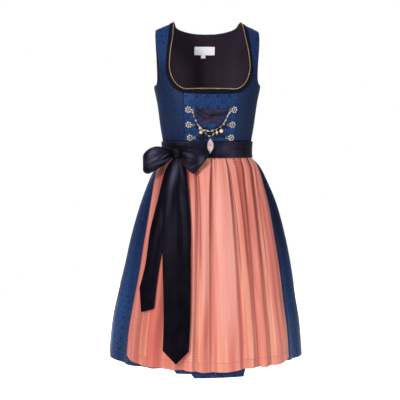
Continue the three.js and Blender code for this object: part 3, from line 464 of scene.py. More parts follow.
def figured_silk(name, dark=0.0, faded=0.0, bands=0.0):
    """Blue silk with a woven figure: dark lozenges in rows with fine leaves and specks between.

    dark is painted shade over the whole cloth. faded hides the figure below the straps, where the tight
    cloth catches the light evenly, and deepens the painted shade away from the princess seam; bands are
    painted soft lights down the cloth, which the painted shade of a "shade" attribute puts out.
    """
    finish = Finish(name, 0.42, **{"Specular IOR Level": 0.1, "Sheen Weight": 0.03,
                                   "Sheen Roughness": 0.4, "Sheen Tint": dye(90, 130, 210)})
    pitch = 0.0310
    beside_line, above_line = -0.0095, -0.005
    across, up = finish.cloth_places()
    on_strap = up.soft(-0.20, -0.11)
    figured = 1 - (1 - on_strap) * faded
    if faded:
        beyond_seam = across.maths("ABSOLUTE").soft(0.075, 0.150)
        dark = (1 - on_strap * 0.6) * (0.45 + 0.55 * beyond_seam) * dark
    beside = across.beside(pitch, beside_line)
    above = up.beside(pitch, above_line)
    lozenge = 1 - (beside / 0.0034 + above / 0.0046).soft(0.75, 1.15)
    wing = 1 - ((beside - 0.0056).maths("ABSOLUTE") / 0.0018
                + (above - 0.0040).maths("ABSOLUTE") / 0.0018).soft(0.7, 1.2)
    half_beside = across.beside(pitch, beside_line + pitch / 2)
    half_above = up.beside(pitch, above_line + pitch / 2)
    lean = (half_beside + half_above) * 0.7071
    off = (half_beside - half_above).maths("ABSOLUTE") * 0.7071
    leaf = 1 - ((lean - 0.0048).maths("ABSOLUTE") / 0.0034 + off / 0.0014).soft(0.6, 1.2)
    beside_sprig = (half_beside - 0.0075).maths("ABSOLUTE")
    sprig = 1 - (beside_sprig / 0.0030 + half_above / 0.0013).soft(0.6, 1.2)
    grain = finish.cloudy(300, 1.0, coordinates="cloth")
    figure = lozenge.maths("MAXIMUM", wing * 0.75)
    tracery = leaf.maths("MAXIMUM", sprig).maths("MAXIMUM", grain.soft(0.52, 0.62) * 0.8)
    glints = grain.soft(0.47, 0.38)
    tone = finish.cloudy(9, 2.0, coordinates="cloth")
    ground = finish.mix(dye(16, 41, 86), dye(26, 57, 104), tone.soft(0.3, 0.7))
    # Painted shade: dark turns the whole cloth a deeper blue.
    ground = finish.mix(ground, dye(18, 26, 50), dark)
    if bands:
        # Painted light in long soft bands, and painted shade from the "shade" mark, which also hides the
        # figure there.
        light = finish.cloudy(11, 1.0, (1, 0.22, 1), "cloth").soft(0.46, 0.70)
        shade = finish.marked("shade")
        ground = finish.mix(ground, dye(40, 76, 132), light * bands)
        ground = finish.mix(ground, dye(8, 12, 34), shade)
        figured = figured * (1 - shade)
    ground = finish.mix(ground, dye(46, 82, 138), glints * 0.6 * figured)
    ground = finish.mix(ground, dye(10, 24, 56), tracery * 0.8 * figured)
    finish.set({"Base Color": finish.mix(ground, dye(5, 9, 24), figure * (0.95 * figured))})
    finish.set({"Roughness": 0.36 + 0.2 * figure.maths("MAXIMUM", tracery)})
    thread = across.beside(0.0006) + up.beside(0.0008)
    finish.relief(thread * 0.25 + tracery * 0.00008 + figure * 0.0001, 0.6)
    return finish


bodice_silk = figured_silk("bodice_silk")
# The side panels are a copy of the same silk in painted shade, with its figure faded.
side_silk_painted_shade = figured_silk("side_silk_painted_shade", dark=0.9, faded=0.6)
HALF = SEAM / 2
FINE = 4
NECK_ROWS = 11 * FINE
SEAM_ROWS = 7 * FINE
PANEL_COLUMNS = 8 * FINE
CROWD = 1.3
NECK_FRONT = table(
    "edge_x edge_z velvet_x velvet_z",
    (100, 0, 110.5, -3.5), (105.6, -46, 119, -46), (114.5, -102, 125.5, -101),
    (116, -145, 128, -148), (104, -180, 117, -186), (80, -201, 90, -211),
    (40, -202.5, 45, -217.5), (0, -202.5, 0, -218),
)
NECK_BACK = table(
    "edge_x edge_z velvet_x velvet_z",
    (100, 0, 110.5, -3.5), (92, -11, 103, -20), (70, -19, 77, -33), (35, -24.5, 38, -40),
    (0, -26, 0, -42),
)
ARMHOLE_FRONT = [(155, -62), (150, -105), (146.5, -150), (146.5, -171), (150, -183)]
ARMHOLE_BACK_UPPER = [(157, -24), (156, -60), (153, -105)]
ARMHOLE_BACK_LOWER = [(151, -150), (152, -175), (156, -187)]
PRINCESS = [(80, -201), (78.5, -245), (76, -312), (75, WAIST_Z)]
BACK_SEAM = [(153, -105), (128, -145), (98, -205), (72, -285), (60, WAIST_Z)]


def side_place(side, z):
    """A place on the side seam."""
    drop = -z + ridge_height(read(BODICE_WIDTH, "drop", "half", -z), -z)
    out = np.arcsin((HALF / bodice_depth(side, drop)) ** (SQUARENESS / 2))
    turn = out if side == "front" else 2 * math.pi - out
    return [float(turn) * PLACE_SCALE, float(read(RUNS[side], "drop", "run", drop, straight=True))]


def shoulder(side, x):
    """A place on the shoulder seam."""
    return [float(turn_of(x / BODICE_WIDTH["half"][0], side)) * PLACE_SCALE, HALF]


def waist(side, x):
    """A place on the waist seam."""
    return list(places(side, [(x, WAIST_Z + HALF)])[0])


def neck_line(side, rows, share):
    """Places along the neck opening, a share of the way from its edge to the velvet's outer edge."""
    x = lerp(rows["edge_x"], rows["velvet_x"], share)
    z = lerp(rows["edge_z"], rows["velvet_z"], share)
    line = places(side, np.stack([x, z], axis=-1))
    if rows["edge_z"][0] == 0:
        line[0] = shoulder(side, x[0])
    return line


def front_neck_parts():
    """The front's neck edge in two: down the side to the princess seam, and on to the middle."""
    line = course(neck_line("front", NECK_FRONT, 0), 400)
    split = int(np.argmin(np.linalg.norm(line - places("front", [PRINCESS[0]]), axis=1)))
    return line[:split + 1], line[split:]


def front_side_places():
    neck = course(front_neck_parts()[0], NECK_ROWS, CROWD)
    princess = course(places("front", [(x + HALF, z) for x, z in PRINCESS]), SEAM_ROWS)
    princess[0] = neck[-1]
    princess[-1] = waist("front", PRINCESS[-1][0] + HALF)
    underarm = side_place("front", UNDERARM_Z)
    armhole_spots = places("front", [(157, -24), *ARMHOLE_FRONT])
    armhole = course([shoulder("front", 157), *armhole_spots[1:], underarm], NECK_ROWS, CROWD)
    side = course([underarm, side_place("front", -270), side_place("front", WAIST_Z + HALF)], SEAM_ROWS)
    top = course([shoulder("front", 100), shoulder("front", 157)], PANEL_COLUMNS)
    foot = course([princess[-1], side[-1]], PANEL_COLUMNS)
    return fill(top, foot, joined(neck, princess), joined(armhole, side))


def front_centre_places():
    left = course(places("front", [(x - HALF, z) for x, z in PRINCESS]), SEAM_ROWS + 3 * FINE)
    left[-1] = waist("front", PRINCESS[-1][0] - HALF)
    right = mirrored(left)
    neck = front_neck_parts()[1]
    left[0] = neck[0]
    right[0] = mirrored(neck)[0]
    top = course(joined(mirrored(neck), neck[::-1]), 13 * FINE)
    foot = course([right[-1], waist("front", 0), left[-1]], 13 * FINE)
    return fill(top, foot, right, left)


def back_seam(gap):
    """Places along the back's princess seam, a small gap to one side of it."""
    line = course(places("back", BACK_SEAM), SEAM_ROWS)
    turn, run = line[:, 0] / PLACE_SCALE, line[:, 1]
    ahead = bodice_point("back", turn + SMALL_TURN, run) - bodice_point("back", turn - SMALL_TURN, run)
    line[:, 0] += gap * 2 * SMALL_TURN / ahead[:, 0] * PLACE_SCALE
    line[-1] = waist("back", BACK_SEAM[-1][0] + gap)
    return line


def across_back(strap, neck, left):
    """The places of a piece that reaches across the back, from the edges of its left half."""
    top_half = joined(strap, neck)[::-1]
    top = joined(mirrored(top_half)[::-1], top_half)
    right = mirrored(left)
    foot = course([right[-1], waist("back", 0), left[-1]], len(top) - 1)
    return fill(top, foot, right, left)


def back_centre_places():
    neck = course(neck_line("back", NECK_BACK, 0), 6 * FINE, CROWD)
    strap = course([shoulder("back", 157), shoulder("back", 100)], 3 * FINE)
    armhole_spots = places("back", ARMHOLE_BACK_UPPER)
    armhole = course([shoulder("back", 157), *armhole_spots[1:]], 6 * FINE, CROWD)
    return across_back(strap, neck, joined(armhole, back_seam(-HALF)))


def back_side_places():
    seam = back_seam(HALF)
    underarm = side_place("back", UNDERARM_Z)
    side = course([underarm, side_place("back", -270), side_place("back", WAIST_Z + HALF)], SEAM_ROWS)
    top = course([seam[0], *places("back", ARMHOLE_BACK_LOWER), underarm], PANEL_COLUMNS)
    foot = course([seam[-1], side[-1]], PANEL_COLUMNS)
    return fill(top, foot, seam, side)


def flat_sizes(side, spots, lean=0.0):
    """Where each place lies on the flat panel; lean turns the cut's grain in degrees."""
    across = read(GIRTHS[side], "turn", "long", spots[..., 0] / PLACE_SCALE, straight=True)
    down = -spots[..., 1]
    turn = math.radians(lean)
    return np.stack([
        across * math.cos(turn) - down * math.sin(turn),
        across * math.sin(turn) + down * math.cos(turn),
    ], axis=-1)


def edge_roll(share, sink, reach):
    """How far both edges of a strip roll down, by share of the way across it."""
    return -sink * (np.exp(-((share / reach) ** 2)) + np.exp(-(((1 - share) / reach) ** 2)))


# Pulls in the tight bodice: from the hooks to the centre, under the arms and above the waist.
FRONT_CREASES = [
    (-62, -270, -26, -262, 5, 0.7), (66, -270, 30, -261, 5, 0.6), (-60, -312, -20, -300, 5, 0.6),
    (62, -313, 24, -322, 6, -0.6), (-56, -346, -92, -338, 4, 0.9), (60, -347, 101, -339, 4, 0.8),
    (-88, -352, -128, -344, 5, -1.0), (96, -350, 132, -343, 5, -0.9), (-100, -330, -134, -318, 6, 0.8),
    (104, -328, 136, -316, 6, 0.7), (-112, -250, -150, -214, 9, -1.2), (114, -252, 150, -213, 9, -1.1),
    (-96, -290, -138, -282, 9, 0.8), (98, -286, 140, -277, 9, -0.8), (-118, -178, -148, -196, 7, 0.8),
    (120, -176, 149, -195, 7, 0.8), (-128, -60, -150, -110, 8, 0.7), (131, -58, 152, -112, 8, 0.6),
]
BACK_CREASES = [
    (-20, -344, -60, -336, 5, 0.9), (24, -342, 66, -333, 5, 0.8), (-40, -326, -96, -312, 7, -0.9),
    (36, -322, 92, -309, 7, -0.8), (-70, -350, -120, -340, 5, 0.8), (76, -350, 124, -339, 5, 0.8),
    (-96, -300, -136, -284, 8, 0.8), (100, -296, 138, -282, 8, 0.7), (-120, -230, -150, -202, 9, -1.0),
    (122, -232, 151, -203, 9, -1.0), (-60, -90, -128, -120, 12, 0.8), (66, -92, 126, -118, 12, 0.7),
]


def bodice_panel(name, side, spots, lean=0.0, mirror=False, silk=bodice_silk):
    """One panel of the bodice, from its places, its cut's sizes and its grain's lean."""
    if mirror:
        spots = np.array([mirrored(row) for row in spots])
    turn, run = spots[..., 0] / PLACE_SCALE, spots[..., 1]
    bare = bodice_point(side, turn, run)
    creases = FRONT_CREASES if side == "front" else BACK_CREASES
    u = np.linspace(0, 1, spots.shape[1])[None, :]
    lift = troughs(bare[..., 0], bare[..., 2], creases) + edge_roll(u, 0.7, 0.02)
    points = bodice_lift(side, turn, run, lift)
    flats = flat_sizes(side, spots, -lean if mirror else lean)
    panel = cloth_piece(name, points, flats, CLOTH, silk)


bodice_panel("bodice_front_centre", "front", front_centre_places())
for hand, mirror in (("left", False), ("right", True)):
    bodice_panel(
        f"bodice_front_side_{hand}", "front", front_side_places(),
        lean=-5.0, mirror=mirror, silk=side_silk_painted_shade)
bodice_panel("bodice_back_centre", "back", back_centre_places())
for hand, mirror in (("left", False), ("right", True)):
    bodice_panel(
        f"bodice_back_side_{hand}", "back", back_side_places(),
        lean=9.0, mirror=mirror)

# ------------------------------------------------------------------------------ lining and label
# The back is lined with dark plum satin, with a seam down either side. A bare woven label and a
# smaller size tab are stitched to it below the neck.
LINING_LIFT = -CLOTH - 1.6
LINING_CLOTH = 1.0
LINING_SLACK = 0.4  # the most that a crease may rise towards the silk
LABEL = {"left": -32.7, "right": 32.5, "top": -58, "foot": -84}
SIZE_TAB = {"left": -11, "right": 3, "top": -84.3, "foot": -94}


def lining_satin():
    finish = Finish("lining_satin", 0.6, **{"Specular IOR Level": 0.1, "Sheen Weight": 0.05})
    across, up = finish.cloth_places()
    tone = finish.cloudy(14, 2.0, (1, 0.35, 1), "cloth").soft(0.3, 0.75)
    finish.set({"Base Color": finish.mix(dye(34, 25, 36), dye(46, 34, 48), tone)})
    finish.relief((across.beside(0.0007) + up.beside(0.0005)) * 0.15, 0.4)
    return finish


def lining_places():
    underarm = side_place("back", UNDERARM_Z)
    armhole = places("back", [*ARMHOLE_BACK_UPPER, *ARMHOLE_BACK_LOWER])
    edge = course([shoulder("back", 155), *armhole[1:], underarm], 8 * FINE, CROWD)
    side = course([underarm, side_place("back", -270), side_place("back", WAIST_Z + HALF)], 4 * FINE)
    neck_spots = [shoulder("back", 102), *neck_line("back", NECK_BACK, 0)[1:]]
    neck = course(neck_spots, 6 * FINE, CROWD)
    strap = course([shoulder("back", 155), shoulder("back", 102)], 2 * FINE)
    return across_back(strap, neck, joined(edge, side))


LINING_CREASES = [
    (-86, -60, -70, -340, 3.0, -0.9), (86, -60, 70, -340, 3.0, -0.9), (-20, -110, -30, -240, 9, 0.9),
    (28, -100, 22, -260, 10, -0.9), (-110, -90, -120, -220, 9, 1.0), (112, -80, 118, -230, 9, 0.9),
    (-50, -150, -46, -300, 8, -0.8), (52, -180, 46, -320, 8, 0.8), (0, -230, 4, -350, 9, 0.9),
]
lining_spots = lining_places()
lining_turn, lining_run = lining_spots[..., 0] / PLACE_SCALE, lining_spots[..., 1]
lining_bare = bodice_point("back", lining_turn, lining_run)
lining_rise = troughs(lining_bare[..., 0], lining_bare[..., 2], LINING_CREASES) * 0.7
lining_lift = LINING_LIFT + np.minimum(lining_rise, LINING_SLACK)
lining_points = bodice_lift("back", lining_turn, lining_run, lining_lift)
lining = cloth_piece(
    "lining_back", lining_points, flat_sizes("back", lining_spots), LINING_CLOTH, lining_satin())


def label_tape():
    # The faint white emission is painted light: it brightens the label in the shade inside the back.
    finish = Finish("label_tape", 0.6, **{
        "Sheen Weight": 0.2, "Emission Color": (0.9, 0.92, 1, 1), "Emission Strength": 0.16})
    across, up = finish.cloth_places()
    rib = up.beside(0.0008)
    tone = finish.cloudy(120, 2.0, coordinates="cloth")
    finish.set({"Base Color": finish.mix(dye(244, 241, 248), dye(248, 246, 251), tone)})
    finish.relief(rib * 0.3 + across.beside(0.0005) * 0.15, 0.6)
    return finish


tape = label_tape()
TAPE_LIFT = LINING_LIFT - LINING_CLOTH - 1.5
TAPE_WALL = 0.8


def tape_tab(name, edges, swell):
    """A tab of tape on the lining; the middle stands a little off between its stitched edges."""
    left, right, top, foot = edges.values()
    z, x = np.meshgrid(np.linspace(top, foot, 24), np.linspace(left, right, 40), indexing="ij")
    turn, run = on_bodice("back", x, z)
    u = (x - left) / (right - left)
    v = (z - foot) / (top - foot)
    lift = TAPE_LIFT - swell * (4 * u * (1 - u)) * (0.4 + 0.6 * (1 - v))
    points = bodice_lift("back", turn, run, lift)
    tab = cloth_piece(name, points, np.stack([x, z], axis=-1), TAPE_WALL, tape)


tape_tab("label", LABEL, 0.9)
tape_tab("size_tab", SIZE_TAB, 0.5)

# ------------------------------------------------------------------------------ neck border
# A band of black velvet runs round the whole neck opening, and a bronze cord of twisted metal thread
# is sewn along its inner edge.
VELVET = 1.5
VELVET_WALL = 1.2
VELVET_WIDE = 15
CORD = {"strand": 0.8, "offset": 0.66, "pitch": 9.0, "lift": 3.2, "sides": 7, "step": 0.65}


def pile():
    """Black velvet, whose pile shows a cold bloom where it is seen edge on."""
    finish = Finish("velvet_pile", 0.85, **{
        "Specular IOR Level": 0.1, "Sheen Weight": 0.12, "Sheen Roughness": 0.35,
        "Sheen Tint": dye(60, 70, 110)})
    nap = finish.cloudy(160, 3.0)
    finish.set({"Base Color": finish.mix(dye(7, 8, 16), dye(15, 16, 30), nap.soft(0.35, 0.7))})
    finish.relief(finish.cloudy(1900, 1.0) * 0.0004 + nap * 0.0003)
    return finish


def neck_round(side, share, steps=1):
    """Places all along the neck on one side of the body, from one shoulder to the other."""
    if side == "back":
        half = course(neck_line("back", NECK_BACK, share), 24 * steps, CROWD)
    else:
        half = course(neck_line("front", NECK_FRONT, share), 64 * steps)
    return joined(mirrored(half), half[::-1])


velvet_pile = pile()
for side in ("front", "back"):
    inner, outer = neck_round(side, 0), neck_round(side, 1)
    # The band's inner edge turns down over the panels' cut edge.
    u = np.concatenate([[-0.11, -0.13, -0.11, -0.06], np.linspace(0, 1, 13)])[None, :]
    strip = lerp(inner[:, None], outer[:, None], u[..., None])
    pillow = LIE + VELVET - 0.9 + 0.9 * np.sin(np.pi * np.clip(u, 0.04, 0.96)) ** 0.4
    pillow[0, :5] = -2.0, -0.6, 0.9, 1.6, 2.0
    along = np.arange(len(inner))[:, None]
    pillow = pillow + 0.12 * np.sin(along * 0.9 + 5 * u) * np.sin(np.pi * np.clip(u, 0, 1))
    turn, run = strip[..., 0] / PLACE_SCALE, strip[..., 1]
    band = cloth_piece(
        f"neck_velvet_{side}", bodice_lift(side, turn, run, pillow), flat_sizes(side, strip), VELVET_WALL,
        velvet_pile)


def bronze_thread():
    """Two strands of wound metal thread, one of them darker."""
    finish = Finish("bronze_thread", 0.42, 0.6)
    strand = finish.marked("strand")
    glint = finish.cloudy(700, 2.0).soft(0.35, 0.65)
    bright = finish.mix(dye(196, 150, 112), dye(244, 214, 180), glint)
    finish.set({"Base Color": finish.mix(bright, dye(24, 15, 14), strand)})
    finish.relief(finish.cloudy(2600, 1.0) * 0.0003)
    return finish


def tube(line, radius, sides):
    """Points round a line, with a radius for each of its points."""
    along = unit(np.gradient(line, axis=0))
    first = unit(np.cross(along, np.where(np.abs(along[:, 2:]) < 0.9, (0.0, 0.0, 1.0), (0.0, 1.0, 0.0))))
    second = np.cross(along, first)
    angle = np.linspace(0, 2 * math.pi, sides + 1)
    ring = first[:, None] * np.cos(angle)[None, :, None] + second[:, None] * np.sin(angle)[None, :, None]
    radius = np.broadcast_to(radius, len(line))[:, None, None]
    return line[:, None] + ring * radius


def close_up(mesh, reach):
    """Joins a wrapped grid's edges where they meet, fills its ends and turns its faces outwards."""
    piece = bmesh.new()
    piece.from_mesh(mesh)
    bmesh.ops.remove_doubles(piece, verts=piece.verts, dist=reach)
    bmesh.ops.holes_fill(piece, edges=piece.edges, sides=0)
    bmesh.ops.recalc_face_normals(piece, faces=piece.faces)
    piece.to_mesh(mesh)
    piece.free()


def add_tube(whole, points):
    """Adds a closed tube of points to a bmesh."""
    mesh = mesh_of("tube", points, np.zeros((*points.shape[:2], 2)))
    close_up(mesh, 1e-7)
    whole.from_mesh(mesh)
    bpy.data.meshes.remove(mesh)


def mesh_from(whole, name):
    """Turns a finished bmesh into a mesh."""
    mesh = bpy.data.meshes.new(name)
    whole.to_mesh(mesh)
    whole.free()
    return mesh


def mark(mesh, name, values):
    """Marks each point of a mesh with a value, for its finish to read."""
    mesh.attributes.new(name, "FLOAT", "POINT").data.foreach_set("value", np.ravel(values))


def evenly(line, step):
    """The same line with a point at every step of its length."""
    long = np.concatenate([[0], np.cumsum(np.linalg.norm(np.diff(line, axis=0), axis=1))])
    at = np.linspace(0, long[-1], max(int(long[-1] / step), 2))
    return np.stack([np.interp(at, long, column) for column in line.T], axis=-1)


bronze = bronze_thread()
for side in ("front", "back"):
    spots = neck_round(side, 0.3 / VELVET_WIDE, 2)
    core = bodice_lift(side, spots[:, 0] / PLACE_SCALE, spots[:, 1], CORD["lift"])
    core = evenly(core, CORD["step"])
    along = unit(np.gradient(core, axis=0))
    radial = unit(core * (1, 1, 0.2))
    first = unit(np.cross(along, radial))
    second = np.cross(along, first)
    angle = 2 * math.pi * CORD["step"] * np.arange(len(core)) / CORD["pitch"]
    twist = bmesh.new()
    for start in (0, math.pi):
        swing = np.cos(angle + start)[:, None] * first + np.sin(angle + start)[:, None] * second
        add_tube(twist, tube(core + swing * CORD["offset"], CORD["strand"], CORD["sides"]))
    cord = mesh_from(twist, f"neck_cord_{side}")
    mark(cord, "strand", np.repeat([0.0, 1.0], len(cord.vertices) // 2))
    put(f"neck_cord_{side}", cord, bronze, nodes=(f"neck_braid_{side}",))

# ------------------------------------------------------------------------------ skirt
# The same figured silk in a full skirt, gathered into the waist seam and hanging in soft folds to
# just below the knee. The front has a flat box pleat that hangs lower, under the apron.
# The skirt's half width on either side of the wearer, and its depth before and behind, by height.
SKIRT_FORM = table(
    "z right left front back",
    (-355, 136.5, 136.5, 92, 88), (-380, 134.5, 134.5, 91, 87), (-402, 135.5, 136, 92, 88),
    (-414, 142, 145, 97, 93), (-432, 155, 161, 105, 101), (-467, 174, 180, 121, 116),
    (-544, 204, 213, 150, 143), (-644, 234, 240, 178, 170), (-735, 255, 258, 196, 188),
    (-832, 279, 272, 212, 204), (-906, 295, 284, 222, 214), (-1021, 308, 294, 234, 226),
)
SKIRT_HEM = table(
    "turn z",
    (0, -1011), (30, -1008), (44, -998), (54, -994), (75, -994), (76.5, -1021), (98.5, -1021),
    (100, -1009), (107.5, -1009), (109, -1000), (130, -1001), (150, -1003), (180, -1000),
    (225, -1010), (270, -1014), (315, -1012), (360, -1011),
)
PLEAT_TURNS = [75, 76.5, 98.5, 100, 107.5, 109]
# The hanging folds: their turn in degrees, half width in degrees, and rise (or fall) at the hem.
SKIRT_FOLDS = table(
    "turn reach rise",
    (17, 11, 5), (31, 8, -9), (58, 10, -12), (69, 7, -14), (116, 8, -12), (129, 9, -8), (149, 8, -7),
    (163, 9, 5), (190, 10, -8), (203, 10, 10), (217, 9, -7), (229, 9, 12), (243, 10, -9), (256, 9, 9),
    (270, 8, -11), (283, 9, 10), (297, 10, -9), (310, 9, 12), (324, 10, -8), (338, 9, 9), (350, 7, -6),
)
FOLD_START_Z = -404
FOLD_FULL_Z = -940
HEM_GIRTH = 1700  # all round the flat hem
SKIRT_COLUMNS = 300
SKIRT_ROWS = 118


def skirt_bare(turn, z):
    """A point on the skirt's plain form, without its folds."""
    across, out = plan(turn)
    half = np.where(
        np.cos(turn) < 0, read(SKIRT_FORM, "z", "right", z), read(SKIRT_FORM, "z", "left", z))
    deep = np.where(
        np.sin(turn) >= 0, read(SKIRT_FORM, "z", "front", z), read(SKIRT_FORM, "z", "back", z))
    return np.stack([half * across, deep * out, z + 0 * turn], axis=-1)


def skirt_point(turn, z, out):
    """A point out from the skirt's plain form, level and square to it."""
    point = skirt_bare(turn, z)
    along = skirt_bare(turn + SMALL_TURN, z) - skirt_bare(turn - SMALL_TURN, z)
    normal = unit(np.stack([-along[..., 1], along[..., 0], 0 * turn], axis=-1))
    normal = normal * np.sign(np.sum(normal * point * (1, 1, 0), axis=-1, keepdims=True))
    return point + normal * np.asarray(out)[..., None]


def fold_growth(z):
    """How far the folds have opened at a height: a first share at once, and the rest downwards."""
    t = np.clip((FOLD_START_Z - z) / (FOLD_START_Z - FOLD_FULL_Z), 0, 1)
    return 0.12 * np.minimum(t * 20, 1) + 0.88 * t ** 0.9


def skirt_fold(turn, z):
    """How far the hanging folds stand out; the box pleat lies flat between them."""
    at = np.degrees(turn) % 360
    total = np.zeros(np.broadcast(at, z).shape)
    for middle, reach, rise in zip(*SKIRT_FOLDS.values()):
        off = np.abs((at - middle + 540) % 360 - 180) / reach
        total = total + np.where(off < 1, rise * np.cos(off * math.pi / 2) ** 2, 0)
    in_pleat = (at > PLEAT_TURNS[1] - 0.1) & (at < PLEAT_TURNS[2] + 0.1)
    return np.where(in_pleat, 0, total * fold_growth(z))


def waist_gathers(turn, z):
    """Small uneven gathers that start at the waist seam and die out down the skirt."""
    at = np.degrees(turn)
    fade = smooth((FOLD_START_Z - 4 - z) / 14) * np.exp((z - FOLD_START_Z) / 150)
    wave = np.sin(at * 0.9 + 2 * np.sin(at * 0.11)) + 0.6 * np.sin(at * 1.73 + 1.3)
    return 1.1 * fade * wave


def skirt_half(name, start):
    """The skirt's front or back, half way round the body from its starting turn."""
    turns = np.linspace(start, start + 180, SKIRT_COLUMNS + 1)
    keep = np.all(np.abs(turns[:, None] - PLEAT_TURNS) > 0.35, axis=1)
    turns = np.sort([*turns[keep], *[turn for turn in PLEAT_TURNS if start <= turn <= start + 180]])
    lap = 0.0 * turns
    if name == "skirt_front":
        # The front's seam edges run on under the back's.
        turns[0], turns[-1] = turns[0] - 0.3, turns[-1] + 0.3
        lap[0], lap[-1] = 1.7, 1.7
    turn = np.radians(turns)[None, :]
    hem = read(SKIRT_HEM, "turn", "z", turns, straight=True)[None, :]
    down = np.linspace(0, 1, SKIRT_ROWS)[:, None] ** 1.25
    z = lerp(WAIST_Z - HALF, hem, down)
    out = skirt_fold(turn, z)
    if name == "skirt_back":
        out = out + waist_gathers(turn, z)
    else:
        # Beside the apron the front's silk has the same gathers; under the apron it lies flat.
        bare_side = smooth((np.abs(turns - 90)[None, :] - 58) / 14)
        out = out + waist_gathers(turn, z) * bare_side
    points = skirt_point(turn + 0 * z, z, out - lap[None, :])
    flat = np.stack([turns[None, :] / 360 * HEM_GIRTH + 0 * z, z - hem], axis=-1)
    half = cloth_piece(name, points, flat, CLOTH, skirt_silk_painted_light)
    # Painted shade: the silk is darkened beside the apron, most of all high up on the wearer's left.
    beside_apron = smooth(np.minimum(turns, 180 - turns) / 26)[None, :]
    strong = np.where(turns < 90, 0.85, 0.55)[None, :]
    shade = strong * beside_apron * smooth((z + 820) / 240)
    # A thin painted shadow runs along the hem on the wearer's right.
    shade[-1] = np.maximum(shade[-1], 0.95 * smooth((turns - 110) / 5) * (turns <= 180))
    mark(half.data, "shade", shade)


# The skirt's copy of the silk carries painted shade all over and painted light in long bands.
skirt_silk_painted_light = figured_silk("skirt_silk_painted_light", dark=0.6, bands=0.5)
skirt_half("skirt_front", 0)
skirt_half("skirt_back", 180)

# ------------------------------------------------------------------------------ apron
# Coral satin with lengthwise beige stripes edged by fine ladder lines, pleated into the waistband.
# Its folds open downwards, and the hem is turned up and sewn.
# Each fold line's place at the top and at the hem, and how far it stands out at both.
APRON_FOLDS = table(
    "top_x hem_x top_out hem_out",
    (-139, -246, 0, 1), (-134, -232, 2, 6), (-126, -212, 0, 1), (-121, -200, 3, 7),
    (-108, -176, 3, 9), (-93, -150, 0, 2), (-89, -138, 3, 8), (-76, -114, 3, 10), (-63, -88, 0, 2),
    (-59, -78, 3, 8), (-50, -66, 4, 10), (-44, -54, 0, 3), (-40, -46, 4, 8), (-22, -34, 5, 12),
    (1.5, -17, 5, 7), (5, -8, 0, 1.5), (8.5, 2, 5, 5), (26, 30, 6, 11), (44.5, 68, 5, 7.5),
    (48, 82, 0, 1.5), (51.5, 92, 4.5, 6), (66, 106, 6, 11), (86, 120, 2.5, 4), (94, 128, 0, 1.5),
    (98, 135, 5.5, 9), (106, 146, 5, 12), (119, 166, 0, 1.5), (122, 172, 4, 7), (127, 188, 2, 9),
    (131, 204, 3, 6), (135, 224, 0, 1),
)
APRON_HEM = table(
    "x z",
    (-246, -973), (-236, -981), (-220, -989), (-203, -991), (-174, -992.5), (-116, -994), (-54, -999),
    (-10, -1002), (50, -1001), (91, -996.5), (131, -996), (182, -998), (207, -996), (230, -988),
)
# The pressed pleats: the place in the table, how dark the painted shadow in the groove is, and how far
# down it runs.
APRON_PLEATS = [
    (4, 0.6, 130), (8, 0.7, 160), (11, 0.85, 190), (15, 1.0, 280), (19, 0.9, 230), (23, 1.0, 330),
    (26, 0.9, 250),
]
# Broad bands of painted shade (+) or painted light (-): the place in the table, half width, strength, how
# far down their middle is, and half their length.
APRON_PAINTED_LIGHT = [
    (17.3, 1.7, -0.6, 270, 280), (21.6, 1.2, 0.6, 170, 170), (24.7, 0.9, 0.5, 480, 160),
    (13.3, 0.8, -0.7, 250, 200), (19.9, 0.9, 0.5, 500, 150), (10.0, 0.8, -0.4, 260, 300),
    (28.2, 1.2, 0.3, 200, 240), (26.4, 0.8, -0.3, 500, 200), (5.0, 3.5, 0.6, 330, 420),
]
APRON_TOP_HALF = 140
APRON_SETTLE = 75  # how far below the band the fold lines have turned to their places at the hem
APRON_OPEN = 520  # how far below the band the folds are fully open
APRON_OFF = 0.8
APRON_LOW_OFF = 2.0
STRIPE_STATION = 20.5
SATIN = 1.2
BAND_FOOT_Z = -404
APRON_TOP_Z = -392


def apron_line(column, station, soft_fold=False):
    """One column of the folds' table at any station between them."""
    rows = APRON_FOLDS[column]
    i = np.clip(np.floor(station).astype(int), 0, len(rows) - 2)
    t = station - i
    return lerp(rows[i], rows[i + 1], smooth(t) if soft_fold else t)


def opened(reach):
    """How far the apron's folds have opened at a distance below the band."""
    return smooth(reach / APRON_OPEN) ** 0.8


def apron_surface(station, down):
    """Places on the apron's cloth, by station across and by share of the way down."""
    hem_z = read(APRON_HEM, "x", "z", apron_line("hem_x", station))
    z = lerp(APRON_TOP_Z, hem_z, down)
    reach = np.maximum(BAND_FOOT_Z - z, 0)
    settled = 1 - np.exp(-reach / APRON_SETTLE)
    top_turn = turn_of(apron_line("top_x", station) / APRON_TOP_HALF, "front")
    side = np.where(
        np.cos(top_turn) < 0, read(SKIRT_FORM, "z", "right", hem_z), read(SKIRT_FORM, "z", "left", hem_z))
    turn = lerp(top_turn, turn_of(apron_line("hem_x", station) / side, "front"), settled)
    top_out = apron_line("top_out", station, soft_fold=True)
    hem_out = apron_line("hem_out", station, soft_fold=True)
    grown = lerp(top_out, hem_out, opened(reach)) * (1 - np.exp(-reach / 14))
    off = lerp(APRON_OFF, APRON_LOW_OFF, smooth(reach / 60))
    return turn, z, off + grown + SATIN, hem_z


